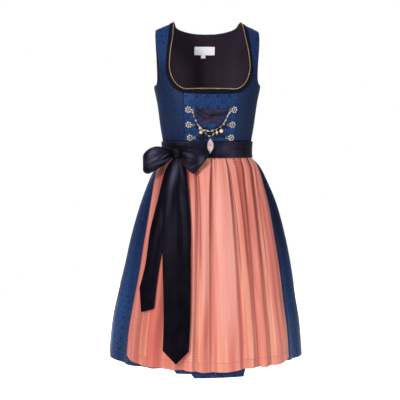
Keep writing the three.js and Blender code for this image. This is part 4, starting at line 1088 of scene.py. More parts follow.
def striped_satin():
    """Coral satin: faint beige stripes between two ladder lines, and a hem turned up and sewn; its marks
    paint the folds' light and shade.
    """
    finish = Finish("striped_satin", 0.42, **{
        "Specular IOR Level": 0.16, "Sheen Weight": 0.04, "Sheen Roughness": 0.4,
        "Sheen Tint": dye(255, 214, 196)})
    repeat, stripe = 0.084, 0.024
    across, up = finish.cloth_places()
    from_middle = across.beside(repeat)
    beige = 1 - from_middle.soft(stripe / 2 - 0.008, stripe / 2)
    from_ladder = (from_middle - stripe / 2).maths("ABSOLUTE")
    rung = up.beside(0.0072).soft(0.0013, 0.0021)
    above_hem = up.soft(0.026, 0.0275)
    ladder = (1 - from_ladder.soft(0.0021, 0.0030)) * rung * above_hem
    deep = 1 - (from_middle - 0.024).maths("ABSOLUTE").soft(0.0015, 0.011)
    drift = finish.cloudy(46, 1.0, (1, 0.08, 1), "cloth")
    streak = finish.cloudy(330, 2.0, (1, 0.012, 1), "cloth")
    shade = finish.marked("shade")
    tone = finish.marked("tone")
    high = up.soft(0.14, 0.34)
    broad = finish.cloudy(9, 1.0, (1, 0.25, 1), "cloth").soft(0.35, 0.65)
    colour = finish.mix(dye(214, 136, 121), dye(202, 108, 92), deep * 0.6)
    # The beige is the stripes' own colour; its greater strength towards the hem is painted sheen.
    colour = finish.mix(colour, dye(204, 146, 110), beige * (0.62 - 0.4 * high))
    colour = finish.mix(colour, dye(230, 166, 152), streak.soft(0.45, 0.8) * 0.4)
    colour = finish.mix(colour, dye(196, 106, 90), broad * 0.35)
    colour = finish.mix(colour, dye(188, 92, 78), drift.soft(0.5, 0.66) * 0.5)
    colour = finish.mix(colour, dye(232, 170, 150), drift.soft(0.46, 0.34) * 0.35)
    # Painted shade where the "tone" mark is above 0 and painted light where it is below; the "shade" mark
    # paints the shade of folds and pleat grooves.
    colour = finish.mix(colour, dye(192, 92, 80), tone.soft(0, 1))
    colour = finish.mix(colour, dye(226, 160, 148), (0 - tone).soft(0, 1))
    colour = finish.mix(colour, dye(112, 38, 36), shade)
    thread_colour = finish.mix(dye(246, 206, 176), dye(96, 34, 52), high)
    seen = (0.3 + 0.6 * high) * (1 - (0 - tone).soft(0.1, 0.5))
    colour = finish.mix(colour, thread_colour, ladder * seen)
    seam = 1 - (up - 0.0255).maths("ABSOLUTE").soft(0.0004, 0.0014)
    stitch = seam * across.beside(0.0030).soft(0.0003, 0.0008)
    colour = finish.mix(colour, dye(178, 92, 80), seam * 0.35 + stitch * 0.3)
    finish.set({"Base Color": colour})
    finish.set({"Roughness": 0.4 + 0.12 * ladder + 0.08 * beige})
    thread = across.beside(0.0005) + up.beside(0.0007)
    finish.relief(thread * 0.2 + ladder * 0.0002 + streak * 0.00012 - seam * 0.0004, 0.6)
    return finish


CELLS = 9  # columns between two fold lines
last_line = len(APRON_FOLDS["top_x"]) - 1
stations = np.linspace(0, last_line, CELLS * last_line + 1)
downs = np.linspace(0, 1, 112) ** 1.2
turn, z, out, hem_z = apron_surface(stations[None, :], downs[:, None])
apron_points = skirt_point(turn, z, out)
hem_line = apron_points[-1]
hem_long = np.concatenate([[0], np.cumsum(np.linalg.norm(np.diff(hem_line, axis=0), axis=1))])
# The cloth is measured from the middle of the stripe on the wearer's left of the centre.
stripe_at = np.interp(STRIPE_STATION, stations, hem_long)
apron_flat = np.stack([hem_long[None, :] - stripe_at + 0 * z, z - hem_z], axis=-1)
apron = cloth_piece("apron", apron_points, apron_flat, SATIN, striped_satin())
# Painted shade: the colour is deeper where a fold turns away from the light side, and in the hollows.
spread = np.linalg.norm(np.gradient(apron_points, axis=1), axis=-1)
turned_away = -np.gradient(out, axis=1) / spread
hollow = 1 - (out - out.min(axis=1, keepdims=True)) / (np.ptp(out, axis=1, keepdims=True) + 1)
reach = np.maximum(BAND_FOOT_Z - z, 0)
shade = np.clip(0.05 + 1.1 * turned_away + 0.3 * (hollow - 0.4), 0, 0.55)
shade = shade * (1 - 0.35 * smooth(reach / 420))
# Painted shade: the edge on the wearer's right hangs deeper in the shade.
far_side = smooth((-150 - apron_line("hem_x", stations[None, :])) / 60)
shade = shade + 0.22 * far_side * (1 - shade)
# Painted shadow down each pressed pleat's groove.
for pleat, strong, fade in APRON_PLEATS:
    groove = np.exp(-(((stations[None, :] - pleat) / (0.32 + reach / 650)) ** 2))
    shade = shade + strong * groove * np.exp(-((reach / fade) ** 2)) * (1 - shade)
mark(apron.data, "shade", shade)
# The broad bands of painted light and shade, marked as "tone".
tone = sum(
    deep * np.exp(-(((stations[None, :] - station) / wide) ** 2) - ((reach - middle) / long) ** 4)
    for station, wide, deep, middle, long in APRON_PAINTED_LIGHT
)
mark(apron.data, "tone", tone)

# ------------------------------------------------------------------------------ waistband and tie
# The apron hangs from a band of navy satin, about five centimetres deep, and the same ribbon goes on
# round the back of the waist. Both are pressed flat and pulled tight, with a few slack creases.
BAND_TOP_Z = -356
TIE_FOOT_Z = -397
BAND_GAP = 2.6
BAND_WALL = 2.0
BAND_MM_A_DEGREE = 2.2  # length of ribbon to a degree round the waist


def ribbon_satin(name, dark, light, gloss=0.2, rough=0.34):
    """Near-black satin with a cool shine.

    An attribute marks painted highlights, paler where light lies on a fold, and painted shade, black in
    the creases, where it is below 0.
    """
    finish = Finish(name, rough, **{
        "Specular IOR Level": gloss, "Sheen Weight": 0.02, "Sheen Roughness": 0.3,
        "Specular Tint": dye(196, 192, 228), "Sheen Tint": dye(110, 110, 190)})
    across, up = finish.cloth_places()
    tone = finish.cloudy(34, 1.0, (1, 0.6, 1), "cloth").soft(0.4, 0.64)
    painted_light = finish.marked("painted_light")
    # Painted highlights where the mark is above 0, and painted shade in the creases where it is below.
    colour = finish.mix(finish.mix(dark, light, tone), dye(70, 69, 90), painted_light)
    colour = finish.mix(colour, dye(2, 2, 4), (0 - painted_light).soft(0, 0.9))
    finish.set({"Base Color": colour})
    finish.set({"Roughness": rough - 0.04 + 0.1 * finish.cloudy(60, 2.0, (1, 1, 1), "cloth")})
    finish.relief((across.beside(0.0006) + up.beside(0.0004)) * 0.15, 0.5)
    return finish


def paint_light_on(piece, points, spots):
    """Painted soft highlights (+) or painted shade in dark creases (-) on satin.

    Each has its middle x and z, half length and half width in mm, lean in degrees and strength.
    """
    value = 0 * points[..., 0]
    for x, z, long, wide, lean, strength in spots:
        cos, sin = math.cos(math.radians(lean)), math.sin(math.radians(lean))
        along = (points[..., 0] - x) * cos + (points[..., 2] - z) * sin
        beside = (points[..., 2] - z) * cos - (points[..., 0] - x) * sin
        value = value + strength * np.exp(-((along / long) ** 2) - (beside / wide) ** 2)
    mark(piece.data, "painted_light", np.clip(value, -1, 1))


navy_satin = ribbon_satin("navy_satin", dye(11, 9, 18), dye(26, 23, 40), gloss=0.22)
bow_satin = ribbon_satin("bow_satin", dye(9, 7, 16), dye(24, 21, 38), gloss=0.16, rough=0.42)
# The tails get a darker copy of the satin: painted shade.
tail_satin_painted_shade = ribbon_satin("tail_satin_painted_shade", dye(6, 4, 9), dye(12, 8, 18), gloss=0.06, rough=0.42)


def band_piece(name, start, end, foot_z, gap, creases):
    """A stretch of flat ribbon round the waist, from one turn to another."""
    turns, z = np.meshgrid(np.linspace(start, end, 220), np.linspace(BAND_TOP_Z, foot_z, 30))
    v = (z - BAND_TOP_Z) / (foot_z - BAND_TOP_Z)
    along = turns * BAND_MM_A_DEGREE
    out = gap + BAND_WALL + edge_roll(v, 0.5, 0.05) + troughs(along, z, creases)
    points = skirt_point(np.radians(turns), z, out)
    flats = np.stack([along, z], axis=-1)
    band = cloth_piece(name, points, flats, BAND_WALL, navy_satin)
    paint_light_on(band, points, BAND_PAINTED_LIGHT)


# Creases by their ends along the ribbon and in height, with a width and a rise.
BAND_CREASES = [
    (40, -362, 150, -372, 3.0, 0.7), (70, -378, 176, -384, 4, -0.6), (250, -366, 330, -372, 4, 0.8),
    (262, -384, 352, -380, 4, -0.7), (225, -391, 300, -398, 3.5, 0.7), (170, -366, 214, -362, 3, 0.5),
    (300, -360, 372, -364, 3, -0.6), (20, -390, 110, -396, 4, 0.6),
]
TIE_CREASES = [
    (420, -362, 520, -374, 3.5, 0.6), (500, -384, 620, -378, 4, -0.6), (560, -366, 660, -371, 3.5, 0.6),
    (640, -388, 740, -380, 4, 0.6), (690, -364, 770, -370, 3.5, -0.6),
]
# Painted highlights (+) and painted shade (-) on the band, the shade beside the knot.
BAND_PAINTED_LIGHT = [
    (46, -376, 14, 17, 0, 0.3), (-62, -366, 14, 8, 0, 0.2), (-108, -368, 26, 9, 0, -0.8),
    (-70, -378, 40, 5, 0, -0.6),
]
band_piece("apron_waistband", 0.15, 179.85, BAND_FOOT_Z, BAND_GAP, BAND_CREASES)
band_piece("tie_round_back", 180.15, 359.85, TIE_FOOT_Z, LIE, TIE_CREASES)

# ------------------------------------------------------------------------------ bow
# The ribbon is tied at the wearer's right front in a bow: a knot, two full loops and two tails, one
# long and pointed, one shorter and cut slanting behind it.
RIBBON_LIFT = 1.0
KNOT = {"x": -100, "z": -389, "wide": 25, "tall": 30, "deep": 20}
TAIL = {"columns": 44, "rows": 150, "end_rows": 30}
LOOP = {"columns": 44, "rows": 150}
LONG_TAIL = table(
    "z outer inner",
    (-403.6, -108, -87), (-419, -114, -84), (-436, -122, -75), (-475, -137, -71), (-538, -145, -67),
    (-602, -146.5, -65), (-669, -148, -67), (-839, -147, -71), (-938, -151, -77),
)
LONG_TIP = (-114, -976)
SHORT_TAIL = table(
    "z outer inner",
    (-399.6, -106, -89), (-425, -124, -98), (-447, -136, -106), (-525, -157, -118),
    (-611, -180, -137), (-707, -195, -156), (-775, -213, -167),
)
SHORT_TIP = ((-209, -840), (-173, -826))


def crest_out(z):
    """How far the apron's crests stand off the skirt at a height."""
    reach = np.maximum(BAND_FOOT_Z - z, 0)
    crest = lerp(3, 14, opened(reach)) + APRON_LOW_OFF + SATIN
    return np.maximum(crest, BAND_GAP + BAND_WALL)


def before_skirt(x, z, out):
    """A point in front of the skirt, by its sideways and height sizes."""
    half = np.where(x < 0, read(SKIRT_FORM, "z", "right", z), read(SKIRT_FORM, "z", "left", z)) + out
    return skirt_point(turn_of(np.clip(x / half, -0.995, 0.995), "front"), z, out)


def tail_piece(name, rows, foot, lift, folds, spots, flat):
    """A hanging ribbon: its rows run down the table, the last of them to the cut end."""
    top, low = rows["z"][0], rows["z"][-1]
    u = np.linspace(0, 1, TAIL["columns"])[None, :]
    body = np.linspace(0, 1, TAIL["rows"])[:, None] ** 1.15
    z_body = lerp(top, low, body) + 0 * u
    x_body = lerp(read(rows, "z", "outer", z_body), read(rows, "z", "inner", z_body), u)
    end = np.linspace(0, 1, TAIL["end_rows"])[1:, None]
    foot_x, foot_z = foot(u)
    x_end = lerp(lerp(rows["outer"][-1], rows["inner"][-1], u), foot_x, end)
    z_end = lerp(low + 0 * u, foot_z, end)
    x, z = np.vstack([x_body, x_end]), np.vstack([z_body, z_end])
    across = np.broadcast_to(u, x.shape)
    fold = sum(
        rise * np.exp(-(((across - middle - drift * (top - z) / 500) / width) ** 2))
        * np.exp((z - top) / fade)
        for middle, width, rise, fade, drift in folds
    )
    points = before_skirt(x, z, crest_out(z) + lift + SATIN / 2 + fold)
    flats = np.stack([across * flat[0] / MM, z], axis=-1)
    tail = cloth_piece(name, points, flats, SATIN, tail_satin_painted_shade)
    paint_light_on(tail, points, spots)


def long_foot(u):
    """The long tail's cut end, which comes to a point."""
    low = {key: rows[-1] for key, rows in LONG_TAIL.items()}
    tip = (LONG_TIP[0] - low["outer"]) / (low["inner"] - low["outer"])
    share = np.where(u < tip, u / tip, (1 - u) / (1 - tip))
    return lerp(low["outer"], low["inner"], u), lerp(low["z"] - 1, LONG_TIP[1], share)


def short_foot(u):
    """The short tail's cut end, which slants."""
    return lerp(SHORT_TIP[0][0], SHORT_TIP[1][0], u), lerp(SHORT_TIP[0][1], SHORT_TIP[1][1], u)


# Middle of each fold as a share of the width, its width, rise, how far down it fades, and its drift.
LONG_FOLDS = [
    (0.16, 0.07, 2.2, 120, -0.05), (0.34, 0.06, -2.6, 150, -0.04), (0.50, 0.08, 3.0, 210, 0.0),
    (0.68, 0.06, -2.4, 130, 0.05), (0.84, 0.07, 2.4, 170, 0.06), (0.30, 0.16, 1.2, 900, 0.02),
    (0.80, 0.14, -0.9, 900, -0.03),
]
SHORT_FOLDS = [
    (0.25, 0.10, 1.4, 160, -0.05), (0.52, 0.09, -1.6, 190, 0.0), (0.78, 0.10, 1.5, 200, 0.05),
    (0.40, 0.20, 0.9, 900, 0.0),
]
# Painted highlights on the tails, brightest near the top of the long tail.
LONG_PAINTED_LIGHT = [
    (-107, -448, 40, 8, 74, 0.9), (-86, -440, 30, 4, 98, 0.35), (-88, -520, 50, 6, 92, 0.15),
    (-122, -520, 50, 6, 80, 0.2),
]
SHORT_PAINTED_LIGHT = [(-140, -560, 40, 4, 78, 0.3)]
tail_piece("bow_tail_short", SHORT_TAIL, short_foot, RIBBON_LIFT, SHORT_FOLDS, SHORT_PAINTED_LIGHT, (0.048, 0.46))
tail_piece("bow_tail_long", LONG_TAIL, long_foot, RIBBON_LIFT + SATIN + 2.4, LONG_FOLDS, LONG_PAINTED_LIGHT,
           (0.085, 0.585))

RIGHT_LOOP = table(
    "x z tall front back",
    (-197, -419, 20, -84, -84), (-194, -418, 27, -92, -77), (-182, -414, 35, -101, -71),
    (-160, -404, 34, -106, -71), (-137, -398, 26, -105, -76), (-109.2, -390.5, 10, -92, -84),
)
LEFT_LOOP = table(
    "x z tall front back",
    (-4, -388, 3, -117, -117), (-10, -392, 9, -121, -114), (-29, -401, 23, -128, -113),
    (-52, -411, 36, -130, -113), (-74, -403, 26, -122, -106), (-84.3, -391, 10, -97, -88),
)


def loop_piece(name, rows, folds, spots, flat):
    """One ribbon that runs out from the knot, turns back at its tip and returns behind itself."""
    there = np.stack([rows["x"], rows["front"], rows["z"], rows["tall"]], axis=-1)[::-1]
    back = np.stack([rows["x"], rows["back"], rows["z"], rows["tall"]], axis=-1)[1:]
    line = course(np.vstack([there, back]), LOOP["rows"])
    middle, tall = line[:, None, :3], line[:, None, 3]
    v = np.linspace(-1, 1, LOOP["columns"])[None, :]
    long = np.linspace(0, 1, len(line))[:, None]
    in_front = 1 - smooth((long - 0.42) / 0.16)
    swell = (1 - v * v) * np.sin(np.pi * np.clip(long * 2, 0, 1)) * in_front
    fold = sum(
        rise * np.exp(-(((v - slant * long * 2 - at) / width) ** 2)) * np.exp(-long / reach)
        for at, width, rise, reach, slant in folds
    ) * np.minimum(tall / 24, 1) * 1.2
    y = middle[..., 1] - 8.5 * swell - 1.3 * fold * in_front + 0.8 * (1 - in_front) * (1 - v * v)
    points = np.stack([middle[..., 0] + 0 * v, y, middle[..., 2] + tall * v], axis=-1)
    flats = np.stack([v * 25 + 0 * long, long * flat[1] / MM + 0 * v], axis=-1)
    loop = cloth_piece(name, points, flats, SATIN, bow_satin, outward=False)
    paint_light_on(loop, points, spots)


# Creases out of the knot: height as a share of the half width, width, rise, reach and slant.
RIGHT_CREASES = [
    (0.55, 0.10, 3.2, 0.22, 0.25), (0.22, 0.09, -3.0, 0.25, 0.12), (-0.05, 0.10, 3.4, 0.28, -0.05),
    (-0.36, 0.09, -2.8, 0.22, -0.15), (-0.62, 0.11, 3.0, 0.25, -0.25), (0.80, 0.08, -2.0, 0.2, 0.1),
]
LEFT_CREASES = [
    (0.50, 0.10, 3.0, 0.24, 0.2), (0.16, 0.09, -2.8, 0.28, 0.1), (-0.16, 0.10, 3.0, 0.24, -0.1),
    (-0.46, 0.09, -2.6, 0.26, -0.2), (-0.74, 0.10, 2.4, 0.22, -0.2),
]
# Painted highlights (+) and painted shade in the creases (-) on the loops.
RIGHT_PAINTED_LIGHT = [
    (-169, -386, 15, 10, 20, 0.6), (-178, -398, 6, 14, 10, 0.3), (-160, -405, 26, 3.4, 25, 0.8),
    (-150, -416, 28, 4, 20, 0.55), (-136, -398, 16, 2.6, 32, 0.5), (-142, -397, 15, 2.2, 32, -1.0),
    (-124, -401, 9, 2.4, 22, -0.9), (-148, -426, 34, 3.4, 26, -0.9), (-116, -383, 14, 3, 8, -0.7),
    (-110, -399, 7, 8, 60, -1.0), (-192, -428, 8, 5, 60, -0.5), (-180, -384, 14, 2.4, 60, -0.5),
]
LEFT_PAINTED_LIGHT = [
    (-28, -411, 9, 14, 0, 0.75), (-62, -397, 9, 6, -20, 0.5), (-50, -424, 20, 3, 30, 0.35),
    (-74, -389, 12, 3, -12, 0.35), (-84, -407, 13, 3.4, 112, -1.0), (-56, -412, 15, 7, -32, -0.6),
    (-68, -434, 16, 2.4, -41, -0.9), (-31, -424, 30, 2.6, 44, -0.8), (-22, -390, 13, 3.4, 4, -1.0),
    (-58, -384, 26, 3, -6, -0.8), (-12, -399, 9, 3, 40, -0.6),
]
loop_piece("bow_loop_right", RIGHT_LOOP, RIGHT_CREASES, RIGHT_PAINTED_LIGHT, (0.062, 0.19))
loop_piece("bow_loop_left", LEFT_LOOP, LEFT_CREASES, LEFT_PAINTED_LIGHT, (0.05, 0.17))


def knot_piece(name, points, flat, finish):
    """A rounded, stuffed knot of ribbon in its node's place, from a grid that closes on itself."""
    mesh = mesh_of(f"{name}_cloth", points, flat)
    close_up(mesh, 1e-6)
    knot = put(f"{name}_cloth", mesh, finish, nodes=(name,))


def globe(rows, columns):
    """Turns down and turns round that cover a closed form from pole to pole."""
    down, round_it = np.linspace(0, math.pi, rows), np.linspace(0, 2 * math.pi, columns)
    return np.meshgrid(down, round_it, indexing="ij")


knot_seat = before_skirt(
    np.float64(KNOT["x"]), np.float64(KNOT["z"]), BAND_GAP + BAND_WALL + LIE + KNOT["deep"] / 2)
down, round_it = globe(60, 120)
wrap = 0.06 * np.sin(7 * round_it + 1.5 * np.cos(down)) + 0.04 * np.sin(12 * round_it + 2)
size = 1 + wrap * np.sin(down) ** 0.5
knot_points = np.stack([
    np.sin(down) * np.cos(round_it) * size * KNOT["wide"] / 2,
    np.sin(down) * np.sin(round_it) * size * KNOT["deep"] / 2,
    np.cos(down) * KNOT["tall"] / 2,
], axis=-1)
lean = np.array(Matrix.Rotation(-0.5, 3, "Z"))
knot_points = knot_points @ lean.T + np.array([knot_seat[0], knot_seat[1], KNOT["z"]])
knot_piece("bow_knot", knot_points, np.stack([round_it, down], axis=-1) * 12, bow_satin)

# ------------------------------------------------------------------------------ hooks
# Six cast hooks of old silver gilt hold the lacing. Each is a filigree rosette of wire petals and
# grains on a dished plate, with an eye on its inner side.
# Each hook's sideways and height places, and how far it stands off the silk.
HOOKS = {
    "top_right": (-64.8, -263, 0.4), "middle_right": (-63, -306, 0.6),
    "bottom_right": (-58.5, -344.3, 1.1), "top_left": (68.8, -263, 0.4),
    "middle_left": (65, -306, 0.6), "bottom_left": (62, -344.3, 1.1),
}
ROSETTE = {"petals": 7, "reach": 7.3, "plate": 7.4, "thick": 0.6, "deep": 2.4}
EYE = {"reach": 13.4, "joint": 10.2, "radius": 3.2, "wire": 0.8, "height": 0.8}


def shape_of(part):
    """A small shape's mesh, with its faces outwards, ready to be stamped."""
    bmesh.ops.recalc_face_normals(part, faces=part.faces)
    return mesh_from(part, "shape")


def wire_ring(radius, wire, around=16, section=6):
    """A ring of wire in its own XY plane: a small circle spun round."""
    part = bmesh.new()
    upright = Matrix.Translation((radius, 0, 0)) @ Matrix.Rotation(math.pi / 2, 4, "X")
    bmesh.ops.create_circle(part, segments=section, radius=wire, matrix=upright)
    bmesh.ops.spin(part, geom=part.verts[:] + part.edges[:], cent=(0, 0, 0), axis=(0, 0, 1),
                   angle=2 * math.pi, steps=around, use_merge=True)
    return shape_of(part)


def grain(radius, segments=10):
    part = bmesh.new()
    bmesh.ops.create_uvsphere(part, u_segments=segments, v_segments=segments * 3 // 4, radius=radius)
    return shape_of(part)


def dished_plate(radius, height):
    part = bmesh.new()
    bmesh.ops.create_cone(part, cap_ends=True, segments=32, radius1=radius, radius2=radius * 0.55,
                          depth=height, matrix=Matrix.Translation((0, 0, height / 2)))
    bmesh.ops.bevel(part, geom=part.edges[:], offset=0.25, affect="EDGES", segments=2, profile=0.5,
                    material=-1)
    return shape_of(part)


def stamp(whole, mesh, *matrices):
    """Adds a copy of a shape at each place."""
    for matrix in matrices:
        copy = mesh.copy()
        copy.transform(matrix)
        whole.from_mesh(copy)
        bpy.data.meshes.remove(copy)


def round_places(count, radius, height, tilt=0.0, scale=(1, 1, 1)):
    """Matrices in a ring about Z."""
    for i in range(count):
        around = Matrix.Rotation(2 * math.pi * i / count, 4, "Z")
        lean = Matrix.Rotation(tilt, 4, "Y")
        yield around @ Matrix.Translation((radius, 0, height)) @ lean @ Matrix.Diagonal((*scale, 1))


def stand(x, z, lift):
    """A place on the bodice for an ornament that faces +Z: X is to the wearer's left and Y up."""
    turn, run = on_bodice("front", np.float64(x), np.float64(z))
    point = Vector(bodice_lift("front", turn, run, 0.0))
    normal = (Vector(bodice_lift("front", turn, run, 1.0)) - point).normalized()
    up = (Vector((0, 0, 1)) - normal * normal.z).normalized()
    basis = Matrix((up.cross(normal), up, normal)).transposed().to_4x4()
    basis.translation = point + normal * lift
    return Matrix.Scale(MM, 4) @ basis


def polished(whole, name, depth):
    """Keeps how far each point stands out, from 0 to 1, which the metal's finish reads as wear."""
    mesh = mesh_from(whole, name)
    height = np.array([vertex.co.z for vertex in mesh.vertices]) / depth
    mark(mesh, "wear_and_painted_glint", np.clip(height * 1.7 - 0.7, 0, 1))
    return mesh


def old_gilt(name, hollows):
    """Silver gilt, bright where it is rubbed and dark brown in its hollows or in soft clouds; on the
    chains the same mark paints highlights and shade.
    """
    finish = Finish(name, 0.32, 0.55, **{"Specular IOR Level": 0.6})
    spots = finish.cloudy(900, 2.0)
    if hollows:
        bright = 1.5 * finish.marked("wear_and_painted_glint") + 0.6 * (spots - 0.5)
    else:
        bright = finish.cloudy(330, 1.0).soft(0.42, 0.56)
    bright = bright.soft(0.2, 1.0)
    colour = finish.mix(dye(16, 11, 12), dye(236, 224, 206), bright)
    finish.set({"Base Color": finish.mix(colour, dye(248, 240, 226), spots.soft(0.5, 0.75) * bright)})
    finish.set({"Roughness": 0.5 - 0.24 * bright})
    finish.relief(spots * 0.0002)
    return finish


gilt = old_gilt("old_gilt", hollows=True)
petal_wire = wire_ring(1.75, 0.6)
petal_grain = grain(0.95, 8)
collar = wire_ring(1.7, 0.5, 24)
collar_grain = grain(1.0)
rosette_plate = dished_plate(ROSETTE["plate"], ROSETTE["thick"])
eye_ring = wire_ring(EYE["radius"], EYE["wire"], 20, 8)
eye_joint = grain(0.9, 8)
for name, (x, z, lift) in HOOKS.items():
    hook = bmesh.new()
    stamp(hook, rosette_plate, Matrix.Identity(4))
    stamp(hook, petal_wire, *round_places(ROSETTE["petals"], ROSETTE["reach"], 1.7, 0.2, (1.15, 0.9, 1)))
    stamp(hook, petal_grain, *round_places(ROSETTE["petals"], ROSETTE["reach"], 1.6))
    stamp(hook, collar, Matrix.Translation((0, 0, 1.9)))
    stamp(hook, collar_grain, Matrix.Translation((0, 0, ROSETTE["deep"])))
    side = -1 if x > 0 else 1
    stamp(hook, eye_ring, Matrix.Translation((side * EYE["reach"], 0, EYE["height"])))
    stamp(hook, eye_joint, Matrix.Translation((side * EYE["joint"], 0, EYE["height"])))
    mesh = polished(hook, f"hook_{name}_gilt", ROSETTE["deep"])
    mesh.transform(stand(x, z, lift))
    put(f"hook_{name}_gilt", mesh, gilt, nodes=(f"hook_{name}",))

# ------------------------------------------------------------------------------ lacing
# A plum-black satin ribbon laced from eye to eye over the front, drawn narrow where it passes an
# eye, and tied off in a small knot at the wearer's right.
# Each stretch by its sideways and height places, half width, and lift off the silk.
LACES = {
    "lace_top": [
        (-46.5, -261, 2, 0), (-38, -263.5, 3.5, 0), (-28, -268, 8, 0), (0, -271.5, 10, 0),
        (31, -268, 8, 0), (42, -263.5, 3.5, 0), (50.5, -261, 2, 0),
    ],
    "lace_upper_under": [
        (-46, -267.5, 1.6, 0), (-40, -272, 3.5, 0.9), (-31, -277, 6, 1.9), (0, -289, 7, 1.9),
        (30, -299, 6, 0), (46.6, -303.5, 2, 0),
    ],
    "lace_upper_over": [
        (50, -267.5, 1.6, 0), (44, -272, 3.5, 0.9), (35, -276, 6, 1.9), (22, -281, 7, 3.9),
        (-8, -292, 7, 3.9), (-20, -296.5, 6, 3.4), (-31, -300.5, 4.5, 0.8), (-44.6, -303.5, 2, 0),
    ],
    "lace_lower_under": [
        (-44.6, -309, 2, 0.2), (-25, -319, 6, 0.2), (0, -328, 7, 0.2), (24, -336.5, 6, 0.6),
        (43.6, -341.5, 2, 0.3),
    ],
    "lace_lower_over": [
        (46.6, -309, 2, 0), (28, -317, 6, 0.4), (12, -323, 7, 2.2), (-12, -333, 7, 2.2),
        (-26, -339, 5, 0.8), (-40, -343, 2, 0),
    ],
}
LACE_GAP = 0.5
LACE_WALL = 0.8
LACE_ROWS = 90
LACE_COLUMNS = 18
lace_satin = ribbon_satin("lace_satin", dye(22, 17, 32), dye(52, 43, 60), gloss=0.26)
# The lower laces and the knot get a darker copy of the same satin: painted shade.
lace_satin_painted_shade = ribbon_satin("lace_satin_painted_shade", dye(14, 10, 20), dye(30, 23, 38), gloss=0.25)
for name, rows in LACES.items():
    line = course(rows, LACE_ROWS)
    slope = unit(np.gradient(line[:, :2], axis=0))
    v = np.linspace(-1, 1, LACE_COLUMNS)[None, :]
    wide = line[:, None, 2]
    x = line[:, None, 0] - slope[:, None, 1] * wide * v
    z = line[:, None, 1] + slope[:, None, 0] * wide * v
    u = np.linspace(0, 1, len(line))[:, None]
    fold = 0.45 * np.cos(v * 7.5 + 1.2 * u) + 0.3 * np.cos(v * 13 - 2 * u + 1)
    fold = fold * (0.35 + 0.65 * np.abs(2 * u - 1)) - 0.5 * v ** 6
    turn, run = on_bodice("front", x, z)
    out = LACE_GAP + LACE_WALL + 0.35 + np.maximum(line[:, None, 3], 0) + fold * 0.6
    points = bodice_lift("front", turn, run, out)
    flats = np.stack([v * 10 + 0 * u, u * 100 + 0 * v], axis=-1)
    satin = lace_satin_painted_shade if name.startswith("lace_lower") else lace_satin
    lace = cloth_piece(name, points, flats, LACE_WALL, satin)

down, round_it = globe(50, 120)
pinch = 1 - 0.5 * np.exp(-((np.cos(down) * 4) ** 2))
crush = 1 + 0.12 * np.sin(5 * round_it + 3 * np.cos(down)) + 0.07 * np.sin(9 * round_it)
lace_knot = np.stack([
    np.cos(down) * 10,
    np.sin(down) * np.sin(round_it) * 6.2 * pinch * crush,
    np.sin(down) * np.cos(round_it) * 2.3 * (0.6 + 0.4 * pinch) * crush,
], axis=-1)
seat = np.array(stand(-25, -345, 5)) / MM
lace_knot = lace_knot @ seat[:3, :3].T + seat[:3, 3]
knot_piece("lace_knot", lace_knot, np.stack([round_it, down], axis=-1) * 5, lace_satin_painted_shade)

# ------------------------------------------------------------------------------ chains and charms
# A swag of gilt link chain hangs from the upper eyes and a short one below it, with small leaves,
# three pearls in caps, and a pointed oval of pink shell in a gilt frame. These swing on their rings.
# The chains' places are sideways, in height and off the silk.
UPPER_CHAIN = [
    (-53, -268, 2), (-47, -285, 3.5), (-38, -302, 6), (-27, -314.5, 7.6), (-14, -321, 7.6),
    (0, -323, 7.6), (17.5, -317, 7.6), (29.5, -309, 7.6), (40, -298, 6), (48, -281, 4.5),
    (56.5, -268.5, 2),
]
LOWER_CHAIN = [
    (-24, -320, 7.6), (-14, -329, 7.3), (-4.5, -337.6, 7), (0, -338.2, 7), (4.5, -337.6, 7),
    (9, -331, 7.3), (12.5, -323.6, 7.6),
]
CHAIN_STEP = 0.1
LINK = {"pitch": 4.0, "long": 2.7, "wide": 1.6, "wire": 0.52, "bold": 0.15}
RING = {"radius": 2.6, "wire": 0.5}
RINGLET = {"radius": 2.0, "wire": 0.5}
LEAVES_X = [-41, -33, 41, 35]
link_shape = wire_ring(1, LINK["wire"], 12, 5)


def chain_line(rows):
    """Points all along a chain, a small step apart."""
    x, z, lift = np.array(rows, dtype=float).T
    turn, run = on_bodice("front", x, z)
    return evenly(course(bodice_lift("front", turn, run, lift), 400), CHAIN_STEP)


def along_line(line, i):
    """A matrix at a point of a line, with X along it and Z away from the body."""
    step = Vector(line[min(i + 3, len(line) - 1)] - line[max(i - 3, 0)]).normalized()
    out = Vector((0.05 * line[i][0] / 100, -1, 0))
    out = (out - step * out.dot(step)).normalized()
    matrix = Matrix((step, out.cross(step), out)).transposed().to_4x4()
    matrix.translation = Vector(line[i])
    return matrix


def chain_links(line):
    """Links lying and standing by turns, bolder towards the chain's ends."""
    every = round(LINK["pitch"] / CHAIN_STEP)
    for count, i in enumerate(range(0, len(line), every)):
        bold = 1 + LINK["bold"] * math.exp(-min(i, len(line) - i) / 120)
        stretch = Matrix.Diagonal((LINK["long"], LINK["wide"] * bold, bold, 1))
        quarter = Matrix.Rotation(math.radians(25 if count % 2 else 115), 4, "X")
        yield along_line(line, i) @ quarter @ stretch


def in_metres(whole, name):
    """Turns a finished bmesh in millimetres into a mesh."""
    mesh = mesh_from(whole, name)
    mesh.transform(Matrix.Scale(MM, 4))
    return mesh


def nearest(line, x):
    return int(np.argmin(np.abs(line[:, 0] - x)))


def leaf_shape():
    """A small cast leaf: a flattened, pointed drop with a raised middle."""
    part = bmesh.new()
    bmesh.ops.create_uvsphere(part, u_segments=10, v_segments=8, radius=1)
    for vertex in part.verts:
        x, y, z = vertex.co
        vertex.co = (x * 1.9 * (1 - 0.35 * z), y * 0.6, z * 3.6)
    return shape_of(part)


